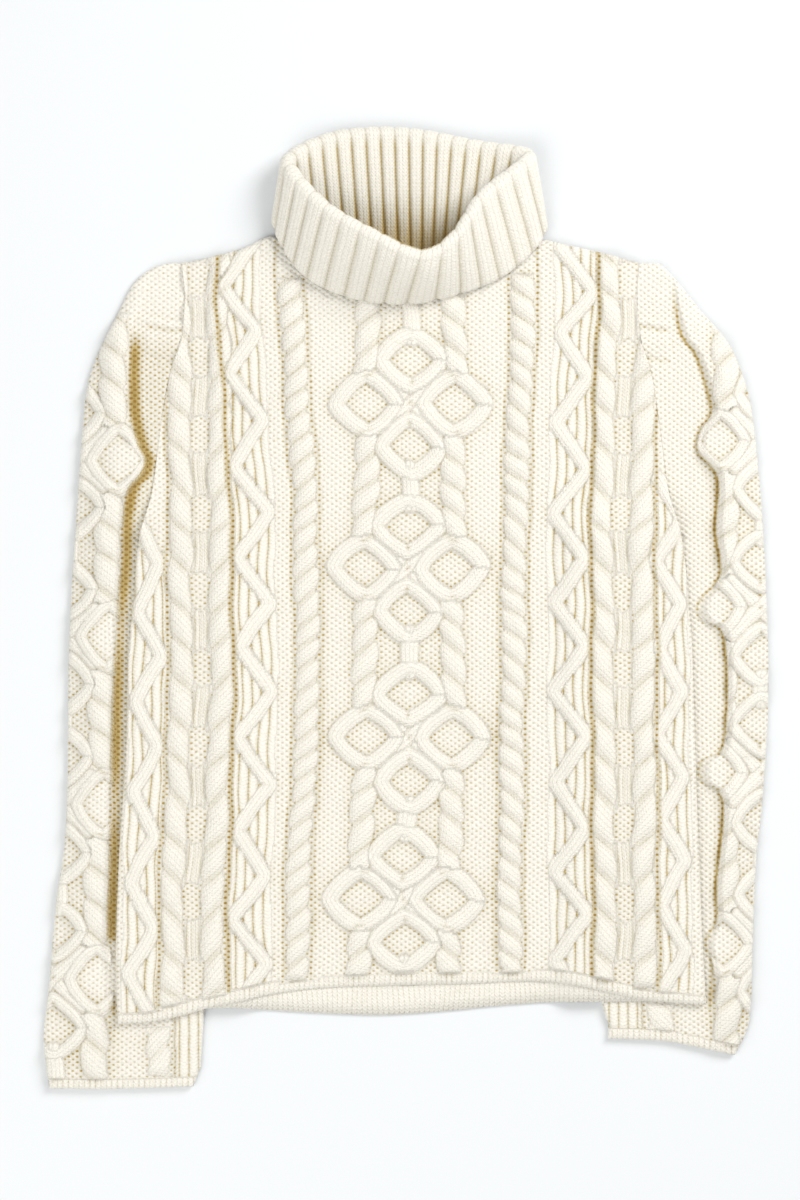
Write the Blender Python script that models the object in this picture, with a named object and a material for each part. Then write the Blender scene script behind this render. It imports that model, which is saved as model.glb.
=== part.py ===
"""Cable knit turtleneck sweater laid flat: front, back, two sleeves and a folded collar."""
import math

import bpy
from mathutils import Vector
from mathutils.geometry import delaunay_2d_cdt

# ---- driving dimensions, millimetres ---------------------------------------------
MM = 0.001                 # millimetres to metres
WALL = 2.8                 # plain knitted cloth
SEAM_GAP = 0.3             # clear space between two sewn pieces
SLEEVE_AIR = 0.6           # air inside a flattened sleeve
SLEEVE_EDGE = 3.1          # height of a flattened sleeve's folded edge
EDGE_WALL = 1.7            # cloth thickness at a rounded edge
SHORTEST_LINE = 4.0        # cut-off ends of cable lines below this are dropped
EDGE_STEP = 14.0           # spacing of points along an edge
EDGE_ROUND = 5.0           # width over which an edge rounds to full thickness
CENTRE = (-0.8, -0.4)      # middle of the outline, moved to the origin

SLEEVE_FLAT = 2.0 * WALL + SLEEVE_AIR      # two walls of a flattened sleeve
LIFT = SLEEVE_FLAT + SEAM_GAP              # how far a tucked sleeve raises the body
BEND_AIR = 1.0             # more air between the panels where they bend up
BEND_REACH = 26.0          # how far that air runs on beside a bend
LIFT_FROM_X = 112.0        # half width where the body starts to rise over a sleeve
LIFT_FULL_X = 139.0        # half width where it rests fully on the sleeve
LIFT_FROM_Y = 104.0        # height on the armhole where the rise starts
LIFT_FULL_Y = 57.0         # height just above the underarm where it is complete
UNDERARM_Y = 52.8          # end of the armhole seam

CABLE_HIGH = 3.4           # crest of a rope or lattice strand over the cloth
BAND_HIGH = 2.4            # crest of a travelling zigzag band
STRAND_HALF = 5.2          # half width of a lattice strand
BAND_HALF = 3.8            # half width of a zigzag band
SHOULDER_IN = 1.6          # slope width on each side of a strand
ROPE_HALF = 9.6            # half width of a rope
ROPE_PITCH = 16.8          # one half twist of a rope
TWIN_OFFSET = 15.4         # each half of a double cable from its middle
TWIN_HALF = 9.2            # half width of each half
TWIN_PITCH = 31.2          # one lump of a double cable
TWIN_LEAN = 0.42           # lean of its lumps in pitches over a half width

LATTICE_CORNER = 55.5      # outer corner of a lattice group from its middle
LATTICE_TIP = 58.0         # top or bottom tip of a lattice group
LATTICE_CROSS = (28.5, 31.5)    # where an arm passes under an outer strand
LATTICE_SIDE = 33.0        # small side ropes from the middle
LATTICE_ARM = 42.0         # height where an arm turns into a side rope
SIDE_ROPE_HALF = 8.4       # half width of a side rope
SIDE_ROPE_PITCH = 21.0     # one half twist of a side rope
LATTICE_PERIOD = 132.6     # one lattice group
SLEEVE_PERIOD = 140.6      # the same on the sleeves, pulled a little longer
SLEEVE_CABLE_HIGH = 3.1    # crest of the sleeves' lattice strands
PANEL_CREST = 0.6          # where a sleeve's raised panel is highest, from edge to crease
PANEL_BROW = 0.84          # where it starts to drop into the crease

COLLAR_WALL = 3.0          # collar cloth at its grooves
COLLAR_RIBS = 30           # wide ribs round the collar
COLLAR_RIB_HIGH = 2.4      # crest of a wide rib over its groove
ROLL_RADIUS = 4.0          # middle of the cloth round the turned rim

WOOL = (0.86, 0.80, 0.66, 1.0)

# Body edges: height, left edge, right edge.  Armhole down to the underarm, then side.
SIDE_ROWS = (
    (275.2, -180.8, 186.4),
    (244.8, -178.4, 184.8),
    (212.8, -181.6, 188.0),
    (184.8, -191.0, 196.5),
    (140.8, -198.4, 203.2),
    (92.8, -204.5, 209.6),
    (52.8, -215.0, 220.6),
    (4.8, -219.2, 225.6),
    (-37.6, -223.2, 228.8),
    (-119.2, -225.4, 231.2),
    (-192.0, -230.4, 233.8),
    (-270.4, -233.2, 236.8),
    (-318.0, -232.4, 239.4),
)

# Shoulder lines from the neck point out to the armhole: x, y.
SHOULDER_LEFT = (
    (-93.6, 291.0), (-101.0, 295.4), (-112.0, 296.4),
    (-131.2, 287.6), (-160.8, 279.2), (-180.8, 275.2),
)
SHOULDER_RIGHT = (
    (97.0, 289.4), (104.0, 293.4), (113.6, 293.6),
    (128.0, 290.0), (154.4, 284.0), (186.4, 275.2),
)

# Hem lines from the left corner to the right one: x, y.
FRONT_HEM = (
    (-232.0, -335.2), (-204.8, -333.6), (-180.0, -328.4), (-156.0, -321.6),
    (-131.2, -316.8), (-107.2, -311.6), (-66.4, -306.8), (-16.8, -304.8),
    (52.8, -303.2), (100.8, -301.2), (130.4, -303.2), (159.2, -309.2),
    (188.0, -315.2), (227.2, -319.2), (240.0, -319.6),
)
BACK_HEM = (
    (-230.0, -333.0), (-190.0, -326.0), (-148.0, -322.4), (-115.2, -324.2),
    (-65.6, -327.2), (-16.8, -328.4), (32.8, -325.2), (72.0, -321.2),
    (110.4, -318.4), (140.0, -317.8), (190.0, -317.0), (238.0, -317.6),
)

# Outer edge of each sleeve from the shoulder to the cuff: x, y.
OUTER_LEFT = (
    (-190.4, 275.4), (-205.6, 270.4), (-219.2, 259.2), (-231.2, 236.8),
    (-241.6, 216.8), (-250.4, 196.8), (-256.8, 175.2), (-260.8, 138.4),
    (-265.6, 68.8), (-271.2, -27.2), (-273.6, -172.0), (-281.6, -236.8),
    (-287.2, -302.4), (-291.6, -343.2), (-290.0, -367.2), (-287.2, -387.2),
)
CUFF_LEFT = ((-229.0, -387.4), (-171.2, -385.6))
INNER_LEFT = (
    (-165.6, -372.0), (-163.2, -332.0), (-160.5, -299.0), (-157.0, -235.0),
    (-152.0, -155.0), (-147.0, -75.0), (-144.0, -5.0), (-152.0, 27.0), (-176.0, 43.0),
)
OUTER_RIGHT = (
    (201.6, 275.6), (216.8, 260.8), (236.8, 236.0), (250.4, 220.8),
    (261.6, 204.8), (272.8, 175.2), (278.4, 145.6), (284.8, 79.2),
    (288.8, 4.8), (290.4, -59.2), (288.8, -107.2), (285.6, -155.2),
    (280.6, -203.2), (278.4, -251.2), (276.0, -321.6), (272.4, -341.6),
    (263.2, -360.4),
)
CUFF_RIGHT = ((230.4, -353.2), (206.4, -348.6), (161.6, -346.4))
INNER_RIGHT = (
    (158.0, -332.0), (155.2, -316.8), (152.5, -290.0), (150.5, -235.0),
    (148.5, -155.0), (147.0, -75.0), (146.5, -5.0), (156.0, 27.0), (182.0, 43.0),
)

# Long crease beside each sleeve's raised panel: y, crease x, rise of the panel beside it.
CREASE_LEFT = (
    (262.0, -205.0, 0.0),
    (228.8, -214.4, 2.0),
    (164.8, -217.0, 6.5),
    (116.8, -212.0, 7.5),
    (68.8, -222.4, 7.5),
    (4.8, -227.6, 7.0),
    (-75.2, -234.0, 7.0),
    (-195.2, -236.4, 7.0),
    (-267.2, -238.4, 6.5),
    (-323.2, -236.0, 4.5),
    (-387.0, -233.0, 0.8),
)
CREASE_RIGHT = (
    (262.0, 212.0, 0.0),
    (216.8, 222.0, 2.0),
    (176.8, 239.0, 5.0),
    (130.0, 240.5, 5.5),
    (68.8, 247.0, 5.5),
    (0.0, 249.0, 5.5),
    (-75.2, 253.0, 5.5),
    (-155.2, 252.5, 5.5),
    (-240.0, 248.5, 5.0),
    (-316.0, 244.0, 3.0),
    (-358.0, 242.0, 0.6),
)

# Knitted columns of the front: heights and the middle of each column at them.
COLUMN_Y = (244.8, 84.8, -75.2, -235.2)
COLUMNS = {
    "twin_left": (-167.2, -165.6, -164.8, -172.0),
    "zigzag_left": (-135.2, -124.0, -120.8, -126.4),
    "rope_left": (-93.6, -81.6, -79.2, -88.0),
    "lattice": (3.2, 1.2, 2.0, -2.8),
    "rope_right": (93.6, 87.2, 84.8, 82.4),
    "zigzag_right": (136.0, 129.6, 130.4, 131.2),
    "twin_right": (177.6, 171.2, 173.6, 174.4),
    "edge_left": (-207.2, -207.2, -207.6, -213.0),
    "edge_right": (208.8, 209.6, 210.4, 213.6),
}

# Zigzag bands: column, first turn y, first side, half period, swing, last y.
ZIGZAGS = (
    ("zigzag_left", 294.4, 1, 36.4, 12.8, -296.0),
    ("zigzag_right", 289.9, -1, 35.9, 12.8, -292.0),
    ("edge_left", 33.0, 1, 36.4, 9.6, -318.0),
    ("edge_right", 69.6, 1, 34.4, 9.6, -308.0),
)

# Ropes: column, start y, end y, lean of its strands in pitches over a half width.
ROPES = (
    ("rope_left", 262.8, -294.0, 0.55),
    ("rope_right", 266.8, -290.0, -0.55),
)

# Double cables: column, start y, end y.
TWINS = (
    ("twin_left", 277.6, -310.0),
    ("twin_right", 277.6, -296.0),
)
FRONT_LATTICE_Y = (162.4, 30.4, -105.6, -235.2)
SLEEVE_LATTICE_LEFT = ((117.6, -267.0), (-24.0, -275.0), (-158.4, -278.0), (-299.2, -283.0))
SLEEVE_LATTICE_RIGHT = ((126.4, 296.0), (-1.6, 298.0), (-132.8, 298.0), (-267.2, 296.0))

# Collar, every 30 degrees from the middle of the front round by the right:
# seam x, y, rim x, y, turned edge x, y, then heights: seam, stand, rim, fold, edge.
COLLAR_ROWS = (
    (2.4, 252.8, 11.2, 280.8, 0.0, 242.8, 4.6, 26.0, 48.0, 34.5, 8.8),
    (36.0, 257.6, 36.8, 295.2, 38.4, 249.2, 4.6, 24.0, 44.0, 31.5, 8.8),
    (70.4, 270.4, 58.4, 328.0, 76.8, 263.2, 4.6, 20.0, 37.0, 26.0, 9.0),
    (93.6, 290.4, 88.0, 352.0, 108.0, 292.0, 5.0, 16.0, 28.0, 20.5, 10.2),
    (82.8, 285.6, 96.0, 364.0, 104.0, 311.2, 4.4, 12.5, 17.0, 9.5, 4.0),
    (44.0, 280.0, 56.8, 371.2, 58.4, 299.2, 2.2, 7.6, 8.0, 2.4, 1.7),
    (0.0, 278.4, -1.6, 381.6, 0.0, 296.0, 1.7, 6.8, 5.6, 1.6, 1.6),
    (-45.6, 280.0, -55.2, 379.2, -56.0, 298.4, 2.2, 7.6, 8.0, 2.4, 1.7),
    (-81.6, 286.8, -91.2, 363.2, -100.8, 313.6, 4.4, 12.5, 18.0, 10.0, 4.0),
    (-90.4, 292.4, -91.2, 348.8, -104.0, 296.0, 5.0, 16.0, 28.0, 20.5, 10.2),
    (-69.6, 270.4, -64.8, 320.0, -81.6, 263.2, 4.6, 20.0, 37.0, 26.0, 9.0),
    (-36.0, 257.6, -28.8, 298.4, -42.4, 246.0, 4.6, 24.0, 44.0, 31.5, 8.8),
)
FRONT_NECK_CLEAR = 1.9     # front neck edge outside the collar's seam line
BACK_NECK_CLEAR = 0.9      # back neck edge outside the collar's seam line


# ---- curves ------------------------------------------------------------------------
def spline(before, start, end, after, t):
    """Point between start and end on a smooth curve through rows of numbers."""
    out = []
    for a, b, c, d in zip(before, start, end, after):
        curve = 2 * b + (c - a) * t + (2 * a - 5 * b + 4 * c - d) * t * t
        out.append(0.5 * (curve + (3 * b - a - 3 * c + d) * t * t * t))
    return tuple(out)


def smooth_path(points, step):
    """Smooth open curve through points, with points about a step apart."""
    rows = [points[0], *points, points[-1]]
    out = [points[0]]
    for i in range(1, len(rows) - 2):
        span = math.dist(rows[i], rows[i + 1])
        count = max(1, round(span / step))
        for k in range(1, count + 1):
            out.append(spline(rows[i - 1], rows[i], rows[i + 1], rows[i + 2], k / count))
    return out


def lookup(rows, y, number):
    """Straight interpolation in a table whose first column falls."""
    if y >= rows[0][0]:
        return rows[0][number]
    for upper, lower in zip(rows, rows[1:]):
        if y >= lower[0]:
            share = (upper[0] - y) / (upper[0] - lower[0])
            return upper[number] + share * (lower[number] - upper[number])
    return rows[-1][number]


def ramp(value):
    """Smooth step from 0 to 1."""
    value = min(1.0, max(0.0, value))
    return value * value * (3.0 - 2.0 * value)


def offset_path(path, amount):
    """Copy of a path moved sideways, mitred at its corners."""
    out = []
    for i, point in enumerate(path):
        normals = []
        for a, b in ((i - 1, i), (i, i + 1)):
            if 0 <= a and b < len(path):
                run = math.dist(path[a], path[b])
                normals.append(((path[a][1] - path[b][1]) / run, (path[b][0] - path[a][0]) / run))
        nx = sum(n[0] for n in normals) / len(normals)
        ny = sum(n[1] for n in normals) / len(normals)
        square = max(0.3, nx * nx + ny * ny)
        out.append((point[0] + amount * nx / square, point[1] + amount * ny / square))
    return out


def offset_loop(loop, amounts):
    """Closed counter-clockwise loop with each edge moved inwards by its own amount."""
    out = []
    count = len(loop)
    for i in range(count):
        ends = []
        for j in (i - 1, i):
            (ax, ay), (bx, by) = loop[j], loop[(j + 1) % count]
            run = math.hypot(bx - ax, by - ay)
            nx, ny = (ay - by) / run, (bx - ax) / run
            ends.append((nx, ny, nx * ax + ny * ay + amounts[j]))
        (n1x, n1y, c1), (n2x, n2y, c2) = ends
        cross = n1x * n2y - n1y * n2x
        if abs(cross) < 0.05:
            shift = 0.5 * (amounts[i - 1] + amounts[i])
            out.append((loop[i][0] + n1x * shift, loop[i][1] + n1y * shift))
        else:
            out.append(((c1 * n2y - c2 * n1y) / cross, (c2 * n1x - c1 * n2x) / cross))
    return out


def area(loop):
    """Signed area of a closed loop."""
    total = 0.0
    for (ax, ay), (bx, by) in zip(loop, loop[1:] + loop[:1]):
        total += ax * by - bx * ay
    return 0.5 * total


def inside(loop, x, y):
    """True where a point lies inside a closed loop."""
    hit = False
    for (ax, ay), (bx, by) in zip(loop, loop[1:] + loop[:1]):
        if (ay > y) != (by > y) and x < ax + (y - ay) * (bx - ax) / (by - ay):
            hit = not hit
    return hit


def segment_distance(x, y, a, b):
    """Distance from a point to a straight segment."""
    dx, dy = b[0] - a[0], b[1] - a[1]
    share = ((x - a[0]) * dx + (y - a[1]) * dy) / (dx * dx + dy * dy)
    share = min(1.0, max(0.0, share))
    return math.hypot(x - a[0] - share * dx, y - a[1] - share * dy)


def edge_distance(loop, x, y):
    """Distance from a point to a closed loop."""
    return min(segment_distance(x, y, a, b) for a, b in zip(loop, loop[1:] + loop[:1]))


def clip_path(path, keep):
    """Parts of a path for which keep(x, y) holds, cut to about half a millimetre."""
    runs, run = [], []
    for a, b in zip(path, path[1:]):
        count = max(1, math.ceil(math.dist(a, b) / 0.5))
        for k in range(count + 1):
            x = a[0] + (b[0] - a[0]) * k / count
            y = a[1] + (b[1] - a[1]) * k / count
            if not keep(x, y):
                if len(run) > 1:
                    runs.append(run)
                run = []
            elif not run or k == 0 or k == count:
                run.append((x, y))
            elif len(run) > 1 and run[-1] != a:
                run[-1] = (x, y)
            else:
                run.append((x, y))
    if len(run) > 1:
        runs.append(run)
    return [run for run in runs if sum(map(math.dist, run, run[1:])) > SHORTEST_LINE]


# ---- cables ------------------------------------------------------------------------
class Strand:
    """Raised flat-topped strand along a path."""

    def __init__(self, path, half, high):
        self.path, self.half, self.high = path, half, high

    def lines(self):
        """Closed foot and shoulder lines round the strand."""
        out = []
        for reach in (self.half, self.half - SHOULDER_IN):
            path = list(self.path)
            for end, beside in ((0, 1), (-1, -2)):
                share = 0.9 * reach / math.dist(path[end], path[beside])
                path[end] = tuple(e + (e - b) * share for e, b in zip(path[end], path[beside]))
            ring = offset_path(path, reach) + offset_path(path, -reach)[::-1]
            out.append(ring + ring[:1])
        return out

    def height(self, x, y):
        """Rise over the cloth at a point."""
        away = min(segment_distance(x, y, a, b) for a, b in zip(self.path, self.path[1:]))
        return self.high * min(1.0, max(0.0, (self.half - away) / SHOULDER_IN))


class Rope:
    """Upright twisted rope built of leaning lumps."""

    def __init__(self, middle, top, bottom, half, pitch, lean, high):
        self.middle, self.top, self.bottom = middle, top, bottom
        self.half, self.pitch, self.lean, self.high = half, pitch, lean, high

    def lines(self):
        """A groove line and a crest line for every lump."""
        out = []
        count = int((self.top - self.bottom) / self.pitch)
        for k in range(count + 1):
            groove = self.top - k * self.pitch
            out.append(self.across(groove, (-1.0, -0.45, 0.45, 1.0)))
            if k < count:
                out.append(self.across(groove - 0.5 * self.pitch, (-0.7, 0.0, 0.7)))
        feet = [[line[0] for line in out[::2]], [line[-1] for line in out[::2]]]
        ends = [self.across(self.top + 0.3 * self.pitch, (-1.0, 1.0))]
        ends.append(self.across(self.top - (count + 0.3) * self.pitch, (-1.0, 1.0)))
        return out + feet + ends

    def across(self, y, shares):
        """Leaning line across the rope at a height."""
        return [
            (self.middle(y) + share * self.half, y + self.lean * self.pitch * share)
            for share in shares
        ]

    def height(self, x, y):
        """Rise over the cloth at a point."""
        share = (x - self.middle(y)) / self.half
        turn = (self.top - y + self.lean * self.pitch * share) / self.pitch
        count = int((self.top - self.bottom) / self.pitch)
        if abs(share) >= 0.999 or turn < -0.2 or turn > count + 0.2:
            return 0.0
        lump = 1.0 - abs(2.0 * (turn - math.floor(turn)) - 1.0)
        return self.high * math.sqrt(1.0 - share * share) * (0.42 + 0.58 * math.sqrt(lump))


def lattice_paths(middle, y, sides=(-1, 1)):
    """Outer strand paths of one lattice group."""
    cross_x, cross_y = LATTICE_CROSS
    upper = ((0.0, LATTICE_TIP), (cross_x, cross_y), (LATTICE_CORNER, 0.0))
    shape = upper + tuple((x, -y) for x, y in upper[1::-1])
    return [[(middle(y) + side * sx, y + sy) for sx, sy in shape] for side in sides]


def lattice_ropes(middle, y, period, high, sides=(-1, 1)):
    """Side ropes that join a lattice group to the next one down."""
    ropes = []
    for side in sides:
        def place(at, side=side):
            return middle(at) + side * LATTICE_SIDE
        top, bottom = y - LATTICE_ARM, y - period + LATTICE_ARM
        ropes.append(Rope(
            place, top, bottom, SIDE_ROPE_HALF, SIDE_ROPE_PITCH, -0.5 * side, high))
    return ropes


def lattice_arms(middle, y, sides=(-1, 1)):
    """The two arms that cross in the middle of a lattice group."""
    paths = []
    for side in sides:
        half = ((0.0, 0.0), LATTICE_CROSS, (LATTICE_SIDE, LATTICE_ARM))
        arm = half[::-1] + tuple((-ax, -ay) for ax, ay in half[1:])
        paths.append([(middle(y) + side * ax, y + ay) for ax, ay in arm])
    return paths


def column(name):
    """Middle of a front column as a function of height."""
    rows = tuple(zip(COLUMN_Y, COLUMNS[name]))
    return lambda y: lookup(rows, y, 1)


def zigzag_path(name, first_y, first_side, half_period, swing, last_y):
    """Turning points of a zigzag band."""
    middle = column(name)
    path, side, y = [], first_side, first_y
    while y > last_y:
        path.append((middle(y) + side * swing, y))
        side, y = -side, y - half_period
    return path


# ---- meshes ------------------------------------------------------------------------
def triangulate(loop, lines, spacing, clear):
    """Triangles over a loop that keep the lines, and where each loop point went."""
    points, edges, near = list(loop), [], {}
    edges += [(i, (i + 1) % len(loop)) for i in range(len(loop))]
    for line in lines:
        start = len(points)
        points += line
        edges += [(start + i, start + i + 1) for i in range(len(line) - 1)]
        for a, b in zip(line, line[1:]):
            count = max(1, math.ceil(math.dist(a, b) / 3.0))
            for k in range(count + 1):
                x = a[0] + (b[0] - a[0]) * k / count
                y = a[1] + (b[1] - a[1]) * k / count
                near.setdefault((round(x / clear), round(y / clear)), []).append((x, y))
    reach = math.ceil(400.0 / spacing)
    for row in range(-reach, reach + 1):
        for col in range(-reach, reach + 1):
            x = (col + 0.5 * (row % 2)) * spacing
            y = row * spacing
            if not inside(loop, x, y) or edge_distance(loop, x, y) < 0.45 * spacing:
                continue
            key = (round(x / clear), round(y / clear))
            close = [
                q for i in (-1, 0, 1) for j in (-1, 0, 1)
                for q in near.get((key[0] + i, key[1] + j), ())
            ]
            if all(math.dist((x, y), q) > clear for q in close):
                points.append((x, y))
    result = delaunay_2d_cdt([Vector(p) for p in points], edges, [], 1, 0.05)
    verts = [(v.x, v.y) for v in result[0]]
    faces = []
    for face in result[2]:
        turned = list(face)
        if area([verts[i] for i in turned]) < 0.0:
            turned.reverse()
        faces.append(turned)
    place = {}
    for after, sources in enumerate(result[3]):
        for before in sources:
            place[before] = after
    return verts, faces, [place[i] for i in range(len(loop))]


def closed_sheet(loop, lines, low_lines, top, low, spacing, low_spacing, clear):
    """Vertices and faces of a closed solid between a top and a low surface."""
    top_verts, top_faces, top_rim = triangulate(loop, lines, spacing, clear)
    low_verts, low_faces, low_rim = triangulate(loop, low_lines, low_spacing, clear)
    verts = [(x, y, top(x, y)) for x, y in top_verts]
    verts += [(x, y, low(x, y)) for x, y in low_verts]
    start = len(top_verts)
    faces = list(top_faces)
    faces += [[start + i for i in reversed(face)] for face in low_faces]
    count = len(loop)
    for i in range(count):
        a, b = top_rim[i], top_rim[(i + 1) % count]
        a_low, b_low = start + low_rim[i], start + low_rim[(i + 1) % count]
        faces += [[b, a, a_low], [b, a_low, b_low]]
    return verts, faces


def new_object(name, verts, faces, collection, material):
    """Object in metres from vertices in millimetres."""
    mesh = bpy.data.meshes.new(name)
    placed = [((x - CENTRE[0]) * MM, (y - CENTRE[1]) * MM, z * MM) for x, y, z in verts]
    mesh.from_pydata(placed, [], faces)
    mesh.validate()
    mesh.update()
    item = bpy.data.objects.new(name, mesh)
    collection.objects.link(item)
    if material:
        mesh.materials.append(material)
    return item


def new_material(name, shade):
    """Wool material, slightly lighter or darker."""
    material = bpy.data.materials.new(name)
    material.use_nodes = True
    node = material.node_tree.nodes["Principled BSDF"]
    node.inputs["Base Color"].default_value = tuple(c * shade for c in WOOL[:3]) + (1.0,)
    node.inputs["Roughness"].default_value = 0.95
    node.inputs["Metallic"].default_value = 0.0
    return material


# ---- body --------------------------------------------------------------------------
def lift(x, y):
    """How far the body is raised by a sleeve tucked beneath it."""
    across = ramp((abs(x) - LIFT_FROM_X) / (LIFT_FULL_X - LIFT_FROM_X))
    along = ramp((LIFT_FROM_Y - y) / (LIFT_FROM_Y - LIFT_FULL_Y))
    return LIFT * across * along


def bend(x, y):
    """1 where the body bends up on to a sleeve, 0 where it lies flat."""
    off_x = max(LIFT_FROM_X - abs(x), abs(x) - LIFT_FULL_X, 0.0)
    off_y = max(LIFT_FULL_Y - y, y - LIFT_FROM_Y, 0.0)
    beside = 1.0 - min(1.0, off_x / BEND_REACH) if y < LIFT_FROM_Y else 0.0
    above = 1.0 - min(1.0, off_y / BEND_REACH) if abs(x) > LIFT_FROM_X else 0.0
    return max(beside, above)


def bend_lines(keep):
    """Lines along the start and the end of each bend of the body."""
    lines = []
    for side in (-1, 1):
        for x, y in ((LIFT_FROM_X, LIFT_FROM_Y), (LIFT_FULL_X, LIFT_FULL_Y)):
            corner = (side * x, y)
            path = smooth_path([(side * x, -400.0), corner], 40.0)
            path += smooth_path([corner, (side * 260.0, y)], 40.0)[1:]
            lines += clip_path(path, keep)
    return lines


def collar_row(angle):
    """Collar table row at any angle, in degrees from the middle of the front."""
    place = (angle % 360.0) / 30.0
    i = int(place)
    rows = [COLLAR_ROWS[(i + k) % len(COLLAR_ROWS)] for k in (-1, 0, 1, 2)]
    return spline(*rows, place - i)


def neck_line(first, last, clear):
    """Neck edge of a panel, a little outside the collar's seam line."""
    count = 18
    angles = [first + (last - first) * k / count for k in range(1, count)]
    return offset_path([collar_row(a)[:2] for a in angles], clear)


def body_outline(neck, hem):
    """Closed outline of a body panel, counter-clockwise."""
    left = smooth_path([(row[1], row[0]) for row in SIDE_ROWS], EDGE_STEP)
    right = smooth_path([(row[2], row[0]) for row in SIDE_ROWS], EDGE_STEP)
    loop = list(neck)
    loop += smooth_path(SHOULDER_RIGHT, EDGE_STEP) + right[1:]
    loop += list(reversed(smooth_path(hem, EDGE_STEP)))
    loop += list(reversed(left)) + list(reversed(smooth_path(SHOULDER_LEFT, EDGE_STEP)))[1:]
    loop.reverse()
    return loop


def front_features():
    """Cables and ribs of the front panel."""
    features = []
    for name, first_y, side, half_period, swing, last_y in ZIGZAGS:
        path = zigzag_path(name, first_y, side, half_period, swing, last_y)
        features.append(Strand(path, BAND_HALF, BAND_HIGH))
    for name, top, bottom, lean in ROPES:
        features.append(Rope(column(name), top, bottom, ROPE_HALF, ROPE_PITCH, lean, CABLE_HIGH))
    for name, top, bottom in TWINS:
        middle = column(name)
        for side in (-1, 1):
            def half(y, middle=middle, side=side):
                return middle(y) + side * TWIN_OFFSET
            lean = side * TWIN_LEAN
            features.append(Rope(half, top, bottom, TWIN_HALF, TWIN_PITCH, lean, CABLE_HIGH))
    middle = column("lattice")
    for number, y in enumerate(FRONT_LATTICE_Y):
        for path in lattice_paths(middle, y):
            features.append(Strand(path, STRAND_HALF, CABLE_HIGH))
        if number < len(FRONT_LATTICE_Y) - 1:
            features += lattice_ropes(middle, y, LATTICE_PERIOD, CABLE_HIGH)
        for path in lattice_arms(middle, y):
            features.append(Strand(path, STRAND_HALF, CABLE_HIGH))
    return features


def build_body(parts, materials):
    """Front and back panels, lying on each other."""
    front_loop = body_outline(neck_line(-88.0, 88.0, -FRONT_NECK_CLEAR), FRONT_HEM)
    back_loop = body_outline(neck_line(272.0, 88.0, -BACK_NECK_CLEAR), BACK_HEM)
    features = front_features()

    def edge_thickness(loop, x, y):
        share = min(1.0, edge_distance(loop, x, y) / EDGE_ROUND)
        return EDGE_WALL + (WALL - EDGE_WALL) * math.sqrt(1.0 - (1.0 - share) ** 2)

    def back_low(x, y):
        return lift(x, y)

    def back_top(x, y):
        return lift(x, y) + WALL

    def front_low(x, y):
        return lift(x, y) + WALL + SEAM_GAP + BEND_AIR * bend(x, y)

    def front_top(x, y):
        rise = max(feature.height(x, y) for feature in features)
        return front_low(x, y) + edge_thickness(front_loop, x, y) + rise

    def keep_front(x, y):
        return inside(front_loop, x, y) and edge_distance(front_loop, x, y) > 3.0

    def keep_back(x, y):
        return inside(back_loop, x, y) and edge_distance(back_loop, x, y) > 2.0

    lines = []
    for feature in features:
        for line in feature.lines():
            lines += clip_path(line, keep_front)
    folds = bend_lines(keep_front)
    verts, faces = closed_sheet(
        front_loop, lines, folds, front_top, front_low, 26.0, 44.0, 5.0)
    new_object("front", verts, faces, parts, materials["front"])
    folds = bend_lines(keep_back)
    verts, faces = closed_sheet(
        back_loop, folds, folds, back_top, back_low, 44.0, 44.0, 5.0)
    new_object("back", verts, faces, parts, materials["back"])


# ---- sleeves -----------------------------------------------------------------------
def sleeve_outline(side, outer, cuff, inner):
    """Closed outline of a flattened sleeve and which of its edges are open."""
    body_edge = smooth_path([(row[1 if side < 0 else 2], row[0]) for row in SIDE_ROWS], EDGE_STEP)
    seam = [point for point in offset_path(body_edge, side * SEAM_GAP) if point[1] > UNDERARM_Y - 1.0]
    outer_path = smooth_path([seam[0], *outer], EDGE_STEP)
    cuff_path = smooth_path([outer[-1], *cuff], 14.0)
    inner_path = smooth_path([cuff[-1], *inner, seam[-1]], 14.0)
    loop = outer_path + cuff_path[1:] + inner_path[1:]
    open_edge = [False] * (len(outer_path) - 1) + [True] * (len(cuff_path) - 1)
    open_edge += [False] * (len(inner_path) - 1)
    loop += list(reversed(seam))[1:-1]
    open_edge += [True] * (len(seam) - 1)
    if area(loop) < 0.0:
        loop.reverse()
        open_edge = open_edge[-2::-1] + open_edge[-1:]
    return loop, open_edge


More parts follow.
